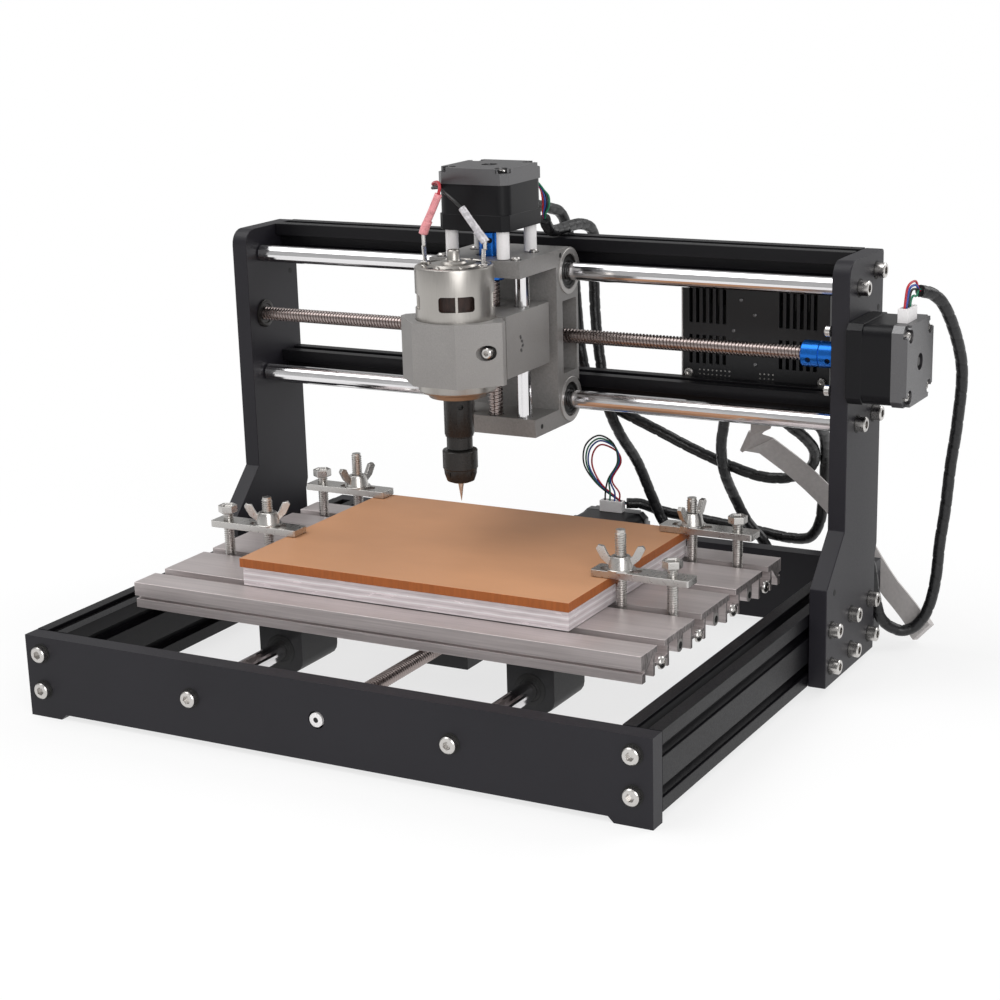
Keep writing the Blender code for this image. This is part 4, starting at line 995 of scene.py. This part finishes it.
def make_carriage():
    """Carriage casting, its seals and screws, the sliding spindle mount and its clamp screw."""
    # The carriage's darker casting colour is painted shade.
    eased("x_carriage", "cast_painted_shade", 0.45)
    eased("spindle_mount", "casting", 0.5)
    inset = 1.3
    seals = []
    for height in X_ROD_HEIGHTS:
        seals.append((spot(23.0 - inset, ROD_Y, height), RIGHT, 0.0))
        seals.append((spot(-32.2 + inset, ROD_Y, height), -RIGHT, 0.0))
    outer = ((9.4, 0.0), (9.4, 1.0), (8.7, 1.2), (8.0, 1.0), (8.0, 0.5))
    scatter("bearing_shells", "x_carriage", "oxide", outer, 40, seals)
    rims = [(place + direction * inset * MM, direction, 0.0) for place, direction, _ in seals]
    rim = turned("rim", ((12.6, -0.4), (12.6, 0.35), (12.3, 0.6), (9.9, 0.6), (9.5, 0.3)), 48)
    bore = turned("bore", ((9.5, -0.6), (9.5, 1.2)), 48)
    finish(spread("boss_rims", cut(rim, bore), rims), "machined", "x_carriage")
    seal = ((8.1, 0.1), (8.1, 0.7), (6.6, 0.9), (6.0, 0.9), (5.7, 0.2))
    scatter("bearing_seals", "x_carriage", "rubber", seal, 40, seals)
    # Dark discs paint the shade inside the holes in the carriage's side.
    marks = ((226.0, 221.0), (200.5, 131.0), (245.4, 203.0), (245.4, 147.6))
    holes = [(spot(23.0, y, z), RIGHT, 0.0) for y, z in marks]
    scatter("carriage_holes", "x_carriage", "dark", ((1.4, 0.0), (1.4, 0.08)), 20, holes)
    tops = [(spot(CARRIAGE_X + across, 213.0, 224.3), UP) for across in (-18.0, 18.0)]
    tops += [(spot(CARRIAGE_X + across, 184.4, 224.3), UP) for across in (-22.5, 22.5)]
    screws("flange_screws", "x_carriage", tops, 2.4, 1.6, 1.2, "steel", 0.7)
    screws("clamp_cap", "z_slide", [(spot(20.0, 149.5, 181.4), FRONT)], 2.9, 4.4, 1.6, "steel", 1.15)
    chips = []
    for y, z, turn in (
        (183.2, 183.4, 20.0), (184.6, 181.0, 65.0), (185.4, 178.6, 110.0), (183.6, 176.2, 40.0),
    ):
        chip = rounded("chip", (2.4, 1.5, 0.16), (-1.2, -0.75, -0.08), 0.5)
        chips.append(put(chip, spot(20.35, y, z), RIGHT, turn))
    finish(join("face_chips", chips), "cap", "z_slide")
    nut = ((5.6, 0.0), (5.6, 0.6), (5.0, 0.9))
    disc("brass", "x_carriage", spot(-5.6, ROD_Y, X_SCREW_HEIGHT), RIGHT, nut, "oxide")
    for end in ("front", "rear"):
        for side in ("left", "right"):
            eased(f"standoff_{end}_{side}", "nylon", 0.25)


def make_can(axis):
    """Spindle motor can with its four windows, the winding behind them and the bar across each."""
    wall = (
        (15.5, 155.0), (17.0, 157.4), (19.9, 158.0), (20.7, 158.6), (21.0, 159.4), (21.0, 201.4),
        (21.0, 212.2), (21.0, 223.4), (20.7, 224.4), (19.8, 225.0), (18.9, 225.0), (18.4, 224.5),
        (12.6, 224.5), (11.9, 225.6), (7.2, 225.9), (6.6, 226.9), (3.7, 227.1), (3.4, 227.6),
        (3.3, 232.2), (2.9, 232.7), (1.7, 232.7), (1.6, 230.0),
    )
    turns = (-58.0, 32.0, 122.0, 212.0)
    can = turned("spindle_can", wall, 72)
    for turn in turns:
        window = rounded("window", (8.0, 18.8, 10.0), (-4.0, -9.4, 15.6), 1.6, 4)
        put(window, Vector((0, 0, 206.8 * MM)), RIGHT)
        cut(can, put(window, Vector((0, 0, 0)), UP, turn))
    smooth(can, 40.0)
    finish(put(can, axis), "nickel", "z_slide", "spindle_nickel", "spindle_motor")
    # Near-black winding behind the windows: copper colour with painted shade inside the can.
    disc("rotor", "z_slide", axis, UP, ((18.3, 201.2), (18.3, 212.2)), "winding", 48)
    bars = [put(slab("bar", (2.0, 1.5, 8.4), (18.2, -0.75, 202.6), 0.2), axis, UP, turn) for turn in turns]
    finish(join("window_bars", bars), "nickel", "z_slide")


def make_cap_marks(axis):
    """Pits and knobs pressed into the top of the can, and its two terminals."""
    # The pits are dark discs that paint the shade in each pit; the knobs stand up in nickel.
    for name, look, rings, reach, height, first in (
        ("cap_pits", "dark", ((1.9, 0.0), (1.9, 0.1)), 15.4, 224.5, 20.0),
        ("cap_knobs", "nickel", ((1.5, 0.0), (1.4, 0.9), (1.0, 1.3)), 16.2, 224.4, 42.5),
    ):
        places = []
        for step in range(8):
            angle = math.radians(first + 45 * step)
            out = Vector((reach * math.cos(angle) * MM, reach * math.sin(angle) * MM, height * MM))
            places.append((axis + out, UP, 0.0))
        scatter(name, "z_slide", look, rings, 20, places)
    lugs = []
    for x, lean in ((-22.6, -4.0), (13.6, 4.0)):
        blade = slab("lug", (0.9, 3.4, 9.5), (-0.45, -1.7, -0.6), 0.2)
        foot = slab("foot", (3.6, 3.6, 1.2), (-1.8, -1.8, -0.4), 0.25)
        place = spot(x + math.copysign(0.6, -x), SPINDLE_Y, 225.2)
        lugs.append(put(join("lug", [blade, foot]), place, Vector((math.sin(math.radians(lean)), 0, 1))))
    finish(join("terminals", lugs), "steel", "z_slide")


def make_leads():
    """The spindle's two leads, with the boot over each terminal."""
    left = ((-22.4, 157.6, 240.2), (-20.8, 157.4, 244.6), (-16.5, 157.2, 252.6), (-12.4, 157.4, 261.0))
    right = ((14.4, 157.6, 237.4), (11.6, 157.2, 241.8), (6.4, 157.0, 248.4), (1.4, 157.2, 254.6))
    for name, look, route in (("left_boot", "boot_red", left), ("right_boot", "boot_clear", right)):
        places = smooth_path(route, 0.6)
        boot = tube(name, places, 2.0, 20)
        edit(boot)
        foot = places[0]
        choose(boot, lambda face: (face.calc_center_median() - foot).length < 7.0 * MM)
        bpy.ops.transform.resize(value=(1.25, 1.25, 1.0), center_override=places[4])
        leave()
        finish(boot, look, "z_slide")
        x, y, _ = route[0]
        tips = smooth_path(((x, y, 233.4), (x, y, 236.0), route[0], route[1]), 0.8)
        finish(tube(name + "_tab", tips, 1.1, 12), "steel", "z_slide")
    tail = (
        (-28.6, 184.0, 262.2), (-29.0, 200.0, 261.4), (-27.2, 215.0, 261.8), (-22.6, 222.4, 262.2),
        (-21.8, 226.4, 261.4),
    )
    beside = tuple((x - 0.9, y, z - 1.5) for x, y, z in tail[:-1])
    red = (
        (-12.6, 157.4, 260.4), (-12.4, 158.6, 263.6), (-15.8, 163.8, 266.0), (-21.8, 170.4, 265.4),
        (-26.6, 176.2, 263.6),
    )
    black = (
        (1.8, 157.2, 254.0), (-3.6, 158.0, 258.0), (-11.0, 161.4, 261.4), (-19.4, 168.2, 263.2),
        (-26.2, 175.0, 261.8),
    )
    routes = ((red + tail, "wire_red"), (black + beside + tail[-1:], "wire_black"))
    bend = ("z_slide", "x_carriage", spot(-24, 168, 264), spot(-24, 214, 264))
    strands("spindle_leads", None, routes, 0.85, bend)


def make_tool(axis):
    """Collet holder with its nut, and the engraving bit."""
    holder = turned(
        "holder", ((8.0, 159.6), (8.0, 134.2), (7.6, 133.6), (7.6, 133.0), (7.0, 132.6), (7.0, 126.4)), 48
    )
    hole = turned("hole", ((1.6, 5.0), (1.6, 12.0)), 20)
    cut(holder, put(hole, Vector((0, 0, 150.0 * MM)), Vector((0.6, -0.8, 0))))
    for low in (-10.9, 6.9):
        cut(holder, slab("flat", (20.0, 4.0, 5.6), (-10.0, low, 127.2), 0))
    smooth(holder)
    rings = (
        (7.2, 125.8), (9.2, 125.4), (9.5, 125.0), (9.5, 115.6), (9.0, 115.0), (8.9, 112.6),
        (7.4, 108.4), (5.2, 107.5), (2.6, 107.5), (2.5, 109.4),
    )
    nut = turned("nut", rings, 60)
    for step in range(6):
        notch = slab("notch", (3.0, 3.6, 6.0), (8.2, -1.8, 108.0), 0)
        cut(nut, put(notch, Vector((0, 0, 0)), UP, 30.0 + 60.0 * step))
    smooth(nut)
    tool = put(join("collet_holder", [holder, nut]), axis)
    finish(tool, "oxide", "spindle_rotor", "oxide_steel", "tool_holder")
    bit = turned("bit", ((1.6, 118.0), (1.6, 106.6), (0.12, 96.8)), 24)
    cut(bit, slab("half", (4.0, 2.0, 9.0), (-2.0, 0.12, 96.0), 0))
    smooth(bit)
    finish(put(bit, axis), "steel", "spindle_rotor", "screw_steel", "cutting_bit")


def make_spindle():
    """Spindle motor with its windows and stamped top, its two leads, the collet holder and the bit."""
    axis = spot(CARRIAGE_X, SPINDLE_Y, 0.0)
    make_can(axis)
    make_cap_marks(axis)
    make_leads()
    make_tool(axis)


def hex_head(x, y):
    """Head of a clamp's heel screw, round the middle of its height, with a shallow recess on top."""
    deselect()
    place = spot(x, y, 87.6)
    bpy.ops.mesh.primitive_cylinder_add(vertices=6, radius=5.4 * MM, depth=3.9 * MM, location=place)
    head = bpy.context.active_object
    pick(head)
    bpy.ops.object.transform_apply(location=True, rotation=True, scale=True)
    edit(head)
    choose(head, lambda face: face.normal.z > 0.9)
    bpy.ops.mesh.inset(thickness=0.9 * MM, depth=0.0)
    bpy.ops.mesh.inset(thickness=0.6 * MM, depth=-1.2 * MM)
    choose(head, lambda face: face.normal.z < -0.9)
    bpy.ops.mesh.inset(thickness=0.5 * MM, depth=0.35 * MM)
    leave()
    soften(head, 0.3)
    return head


def make_clamps():
    """Clamp bars with their heel screws, threaded studs, washers and wing nuts."""
    # Corner, lowest and highest x of the bar, x of the stud and of the heel, y of all, top of the stud.
    sets = (
        ("front_right", 93.0, 147.0, 107.4, 136.0, 122.25, 102.5),
        ("rear_right", 90.5, 144.5, 107.4, 134.0, 211.65, 97.0),
        ("front_left", -142.5, -86.5, -107.8, -134.5, 122.25, 97.0),
        ("rear_left", -138.0, -84.5, -105.6, -130.0, 211.65, 101.5),
    )
    foot_height, thread_foot = 54.2, 57.4
    for tag, low, high, stud, heel, y, top in sets:
        body = frame["nodes"]["clamp_bar_" + tag]["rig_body"]
        bar = rounded("bar", (high - low, 12.4, 3.6), (low, y - 6.2, 77.6), 1.2, 3)
        cut(bar, rounded("slot", (22.8, 6.8, 6.0), (stud - 11.4, y - 3.4, 76.0), 3.39, 8))
        soften(bar, 0.45)
        bar = put(bar, spot(0, 0, 0))
        screw = put(thread("heel", 2.95, 2.5, CLAMP_PITCH, 1, 31.6, 12), spot(heel, y, foot_height))
        shell = join("clamp_bar_shell_" + tag, [bar, screw, hex_head(heel, y)])
        finish(shell, "zinc", body, "clamp_zinc", "clamp_bar_" + tag)
        foot = turned("foot", ((6.2, 0.0), (6.4, 0.2), (6.4, 3.5), (6.2, 3.7), (2.6, 3.7), (2.6, 4.0)))
        rod = thread("rod", 2.95, 2.45, CLAMP_PITCH, 1, top - 57.6, 14)
        rod = join("stud", [put(foot, spot(stud, y, foot_height)), put(rod, spot(stud, y, thread_foot))])
        stud_body = frame["nodes"]["clamp_stud_" + tag]["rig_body"]
        finish(rod, "zinc", stud_body, "clamp_zinc", "clamp_stud_" + tag)
        washer = ((7.6, 0.0), (7.6, 0.8), (7.4, 1.0), (3.4, 1.0))
        disc("washer", body, spot(stud, y, 81.2), UP, washer, "zinc", 40)
        eased("wing_nut_" + tag, "zinc", 0.6, 3, 30.0)


def make_bed_ports():
    """Screw ports in the sawn ends of the bed, and the pan screws under its slots."""
    rims, holes, heads = [], [], []
    for x, way in ((150.0, 1.0), (-150.0, -1.0)):
        aim = Vector((way, 0, 0))
        for y in (99.9, 144.6, 189.3):
            rims.append((spot(x, y, 53.6), aim, 0.0))
            holes.append((spot(x + 0.12 * way, y, 53.6), aim, 0.0))
        for y in (77.55, 122.25, 166.95, 211.65):
            heads.append((spot(x, y, 51.8), aim, 0.0))
    head = ((3.5, -0.6), (3.5, 0.5), (3.1, 1.1), (2.2, 1.6), (1.3, 1.8), (1.2, 0.9))
    scatter("end_screws", "y_table", "steel", head, 28, heads)
    scatter("port_rims", "y_table", "machined", ((3.3, -0.3), (3.3, 0.1), (3.0, 0.15)), 28, rims)
    # Dark discs paint the shade inside the ports.
    scatter("port_holes", "y_table", "dark", ((1.9, -0.1), (1.9, 0.08)), 24, holes)


def make_controller():
    """Controller case, its screws, the pale edge of the board and the parts seen through the slots."""
    eased("controller_case", "shell", 0.6)
    corners = [(79.0, 217.5), (157.5, 217.5), (79.0, 151.5), (157.5, 151.5)]
    places = [(spot(x, CASE_FRONT, z), FRONT) for x, z in corners]
    screws("case_screws", "frame", places, 2.5, 1.3, 1.2, "steel", 0.6)
    places = [(spot(x, CASE_BACK, z), BACK) for x, z in corners]
    screws("case_back_screws", "frame", places, 2.5, 1.3, 1.2, "oxide", 0.6)
    pin_pitch = 2.54
    pins = []
    for first, count in ((85.5, 8), (121.5, 4)):
        for step in range(count):
            for height in (153.6, 151.1):
                pins.append((spot(first + pin_pitch * step, CASE_FRONT, height), FRONT, 0.0))
    scatter("header_pins", "frame", "zinc", ((0.55, -0.2), (0.45, 0.25)), 10, pins)
    marks = ((110.0, 194.0), (118.0, 186.0), (118.5, 158.5), (105.6, 176.6))
    pips = [(spot(x, CASE_FRONT, z), FRONT, 0.0) for x, z in marks]
    scatter("case_pips", "frame", "cap", ((1.1, -0.2), (1.1, 0.2), (0.8, 0.4)), 16, pips)
    board = slab("board_edge", (1.6, 14.0, 78.0), (73.3, 275.0, 140.0), 0.2)
    finish(put(board, spot(0, 0, 0)), "nylon", "frame")
    sinks = []
    for x in (86.0, 103.0, 120.0, 137.0):
        for fin in range(4):
            sinks.append(slab("fin", (1.2, 9.0, 9.0), (x + 2.6 * fin, 284.0, 188.0), 0.15))
    sinks += [slab("block", (9.0, 11.0, 12.0), (x, 283.0, 160.0), 0.3) for x in (88.0, 104.0, 120.0, 136.0)]
    finish(put(join("driver_sinks", sinks), spot(0, 0, 0)), "oxide", "frame")
    card = slab("card", (78.0, 1.6, 80.0), (79.0, 292.0, 138.0), 0.2)
    finish(put(card, spot(0, 0, 0)), "rubber", "frame")


# ---------------------------------------------------------------- stage


def make_floor():
    """Pale floor that fades into the white round it, where the camera or a polished piece sees it."""
    deselect()
    bpy.ops.mesh.primitive_plane_add(size=60.0, location=(0, 0, 0))
    floor = bpy.context.active_object
    floor.name = "floor"
    graph = Graph("pale_floor")
    distance = graph.node("ShaderNodeVectorMath", operation="LENGTH")
    graph.link(graph.mapped(), distance.inputs[0])
    rays = graph.node("ShaderNodeLightPath")
    seen = graph.math("MAXIMUM", rays.outputs["Is Camera Ray"], rays.outputs["Is Glossy Ray"])
    seen = graph.math("MAXIMUM", seen, rays.outputs["Is Transmission Ray"])
    share = graph.math("MULTIPLY", seen, graph.ranged(distance.outputs["Value"], 0.3, 0.62, 0.74, 1.0))
    graph.surface((0.93, 0.93, 0.93), 0.9, None, 0.0, 0.0)
    glow = graph.node("ShaderNodeEmission")
    glow.inputs["Color"].default_value = (1, 1, 1, 1)
    mix = graph.node("ShaderNodeMixShader")
    graph.link(share, mix.inputs[0])
    graph.link(graph.shader.outputs[0], mix.inputs[1])
    graph.link(glow.outputs[0], mix.inputs[2])
    graph.link(mix.outputs[0], graph.tree.nodes["Material Output"].inputs[0])
    floor.data.materials.append(graph.material)


def make_surroundings(ambient):
    """White behind the machine, and an even light of a given strength from all round."""
    world = bpy.data.worlds.new("studio")
    bpy.context.scene.world = world
    world.use_nodes = True
    tree = world.node_tree
    background = tree.nodes["Background"]
    rays = tree.nodes.new("ShaderNodeLightPath")
    direct = tree.nodes.new("ShaderNodeMath")
    direct.operation = "MAXIMUM"
    tree.links.new(rays.outputs["Is Camera Ray"], direct.inputs[0])
    tree.links.new(rays.outputs["Is Transmission Ray"], direct.inputs[1])
    strength = tree.nodes.new("ShaderNodeMapRange")
    strength.inputs[3].default_value = ambient
    strength.inputs[4].default_value = 1.0
    tree.links.new(direct.outputs[0], strength.inputs[0])
    tree.links.new(strength.outputs[0], background.inputs[1])
    background.inputs[0].default_value = (1, 1, 1, 1)


def make_lamps(lamps):
    """Three round lamps, each aimed at the middle of the machine: place and size in metres."""
    lights = (
        ("key", (-0.7, -0.3, 1.6), 1.5, lamps.key),
        ("back", (0.9, 1.1, 1.1), 1.2, lamps.back),
        ("front", (1.1, -1.3, 0.75), 1.2, lamps.front),
    )
    for name, place, size, power in lights:
        data = bpy.data.lights.new(name, "AREA")
        data.shape = "DISK"
        data.size = size
        data.energy = power
        light = bpy.data.objects.new(name, data)
        light.location = place
        light.rotation_euler = (Vector((0, 0, 0.08)) - Vector(place)).to_track_quat("-Z", "Y").to_euler()
        bpy.context.scene.collection.objects.link(light)


def make_camera():
    """Camera at the front right, slightly rolled."""
    azimuth, elevation, roll = (math.radians(angle) for angle in (28.77, 17.07, -1.54))
    level = math.cos(elevation)
    back = Vector((math.sin(azimuth) * level, -math.cos(azimuth) * level, math.sin(elevation)))
    right = UP.cross(back).normalized()
    above = back.cross(right)
    across = right * math.cos(roll) + above * math.sin(roll)
    over = above * math.cos(roll) - right * math.sin(roll)
    data = bpy.data.cameras.new("camera")
    data.lens = 78.10
    data.sensor_width = 36.0
    data.shift_x = -0.0072
    data.shift_y = 0.0793
    data.clip_end = 200.0
    camera = bpy.data.objects.new("camera", data)
    facing = Matrix((across, over, back)).transposed().to_4x4()
    camera.matrix_world = Matrix.Translation(spot(562.6, -826.6, 400.2)) @ facing
    bpy.context.scene.collection.objects.link(camera)
    bpy.context.scene.camera = camera


def make_stage(lamps):
    """Floor, surroundings, lamps and camera."""
    make_floor()
    make_surroundings(lamps.ambient)
    make_lamps(lamps)
    make_camera()
    bpy.context.scene.view_settings.view_transform = "Standard"


# ---------------------------------------------------------------- add-on


class RouterColours(bpy.types.PropertyGroup):
    """Colours of the main finishes."""

    plate: bpy.props.FloatVectorProperty(
        name="Plates", description="Black anodised plates", subtype="COLOR", size=3, min=0, max=1,
        default=(0.0125, 0.0115, 0.0155),
    )
    bed: bpy.props.FloatVectorProperty(
        name="Bed", description="Drawn aluminium of the bed", subtype="COLOR", size=3, min=0, max=1,
        default=(0.56, 0.505, 0.5),
    )
    casting: bpy.props.FloatVectorProperty(
        name="Castings", description="Carriage and spindle mount", subtype="COLOR", size=3, min=0, max=1,
        default=(0.29, 0.28, 0.272),
    )
    board: bpy.props.FloatVectorProperty(
        name="Board", description="Faces of the clamped board", subtype="COLOR", size=3, min=0, max=1,
        default=(0.56, 0.282, 0.145),
    )
    coupling: bpy.props.FloatVectorProperty(
        name="Couplings", description="Blue anodised couplings", subtype="COLOR", size=3, min=0, max=1,
        default=(0.012, 0.14, 0.55),
    )


class RouterLamps(bpy.types.PropertyGroup):
    """Strengths of the studio lights."""

    ambient: bpy.props.FloatProperty(name="Ambient", description="Light from all round", default=0.46, min=0)
    key: bpy.props.FloatProperty(
        name="Key", description="Lamp above on the left", default=16.0, min=0, unit="POWER",
    )
    back: bpy.props.FloatProperty(
        name="Back", description="Lamp behind on the right", default=9.0, min=0, unit="POWER",
    )
    front: bpy.props.FloatProperty(
        name="Front", description="Lamp beside the camera", default=13.0, min=0, unit="POWER",
    )


class ROUTER_OT_finishes(bpy.types.Operator):
    """Make the machine's finishes and give them to the pieces of the frame"""

    bl_idname = "router.finishes"
    bl_label = "Finishes"

    def execute(self, context):
        make_looks(context.scene.router_colours)
        by_slot = {
            "black_metal": "plate", "polished_steel": "chrome", "motor_black": "motor",
            "black_plastic": "shell", "block_black": "plate", "screw_steel": "steel", "lead_steel": "lead",
            "cable_black": "rubber", "ribbon_grey": "ribbon", "bed_aluminium": "bed",
            "board_tan": "board", "slab_clear": "slab",
            "cast_aluminium": "casting", "spindle_nickel": "nickel", "oxide_steel": "oxide",
            "blue_aluminium": "blue", "nylon_white": "nylon", "clamp_zinc": "zinc",
        }
        for subpart in frame["record"]["subparts"]:
            node = frame["nodes"][subpart["node"]]
            node.data.materials.clear()
            node.data.materials.append(LOOKS[by_slot[subpart["material_slot"]]])
        return {"FINISHED"}


class ROUTER_OT_cables(bpy.types.Operator):
    """Lay the sleeved cables"""

    bl_idname = "router.cables"
    bl_label = "Cables"

    def execute(self, context):
        make_cables()
        return {"FINISHED"}


class ROUTER_OT_stage(bpy.types.Operator):
    """Set the floor, the lights and the camera"""

    bl_idname = "router.stage"
    bl_label = "Stage"

    def execute(self, context):
        make_stage(context.scene.router_lamps)
        return {"FINISHED"}


class ROUTER_OT_plates(bpy.types.Operator):
    """Break the edges of the plates, profiles and blocks"""

    bl_idname = "router.plates"
    bl_label = "Plates"

    def execute(self, context):
        make_plates()
        return {"FINISHED"}


class ROUTER_OT_fasteners(bpy.types.Operator):
    """Set the screws of the frame"""

    bl_idname = "router.fasteners"
    bl_label = "Fasteners"

    def execute(self, context):
        make_fasteners()
        return {"FINISHED"}


class ROUTER_OT_threads(bpy.types.Operator):
    """Make the lead screws and couplings"""

    bl_idname = "router.threads"
    bl_label = "Lead screws"

    def execute(self, context):
        make_screws()
        return {"FINISHED"}


class ROUTER_OT_motors(bpy.types.Operator):
    """Make the stepper motors and their wires"""

    bl_idname = "router.motors"
    bl_label = "Motors"

    def execute(self, context):
        make_motors()
        return {"FINISHED"}


class ROUTER_OT_carriage(bpy.types.Operator):
    """Finish the carriage and the spindle mount"""

    bl_idname = "router.carriage"
    bl_label = "Carriage"

    def execute(self, context):
        make_carriage()
        return {"FINISHED"}


class ROUTER_OT_spindle(bpy.types.Operator):
    """Make the spindle motor and its tool"""

    bl_idname = "router.spindle"
    bl_label = "Spindle"

    def execute(self, context):
        make_spindle()
        return {"FINISHED"}


class ROUTER_OT_clamps(bpy.types.Operator):
    """Make the clamps of the bed"""

    bl_idname = "router.clamps"
    bl_label = "Clamps"

    def execute(self, context):
        make_clamps()
        return {"FINISHED"}


class ROUTER_OT_bed_ports(bpy.types.Operator):
    """Make the screw ports of the bed"""

    bl_idname = "router.bed_ports"
    bl_label = "Bed ends"

    def execute(self, context):
        make_bed_ports()
        return {"FINISHED"}


class ROUTER_OT_controller(bpy.types.Operator):
    """Finish the controller case"""

    bl_idname = "router.controller"
    bl_label = "Controller"

    def execute(self, context):
        make_controller()
        return {"FINISHED"}


OPERATORS = (
    ROUTER_OT_stage, ROUTER_OT_finishes, ROUTER_OT_cables, ROUTER_OT_plates, ROUTER_OT_fasteners,
    ROUTER_OT_threads, ROUTER_OT_motors, ROUTER_OT_carriage, ROUTER_OT_spindle, ROUTER_OT_clamps,
    ROUTER_OT_bed_ports, ROUTER_OT_controller,
)


class ROUTER_PT_looks(bpy.types.Panel):
    """Colours, lights and the steps that build the pieces"""

    bl_label = "Router"
    bl_idname = "ROUTER_PT_looks"
    bl_space_type = "VIEW_3D"
    bl_region_type = "UI"
    bl_category = "Router"

    def draw(self, context):
        for group in (context.scene.router_colours, context.scene.router_lamps):
            for name in group.bl_rna.properties.keys():
                if name not in ("rna_type", "name"):
                    self.layout.prop(group, name)
        for operator in OPERATORS:
            self.layout.operator(operator.bl_idname)


CLASSES = (RouterColours, RouterLamps) + OPERATORS + (ROUTER_PT_looks,)


def register():
    """Add the classes and their settings."""
    for made in CLASSES:
        bpy.utils.register_class(made)
    bpy.types.Scene.router_colours = bpy.props.PointerProperty(type=RouterColours)
    bpy.types.Scene.router_lamps = bpy.props.PointerProperty(type=RouterLamps)


def unregister():
    """Take the classes and their settings away."""
    del bpy.types.Scene.router_lamps
    del bpy.types.Scene.router_colours
    for made in reversed(CLASSES):
        bpy.utils.unregister_class(made)


def main():
    """Build everything in order."""
    register()
    bpy.ops.router.stage()
    bpy.ops.router.finishes()
    bpy.ops.router.cables()
    bpy.ops.router.plates()
    bpy.ops.router.fasteners()
    bpy.ops.router.threads()
    bpy.ops.router.motors()
    bpy.ops.router.carriage()
    bpy.ops.router.spindle()
    bpy.ops.router.clamps()
    bpy.ops.router.bed_ports()
    bpy.ops.router.controller()


if __name__ == "__main__":
    main()
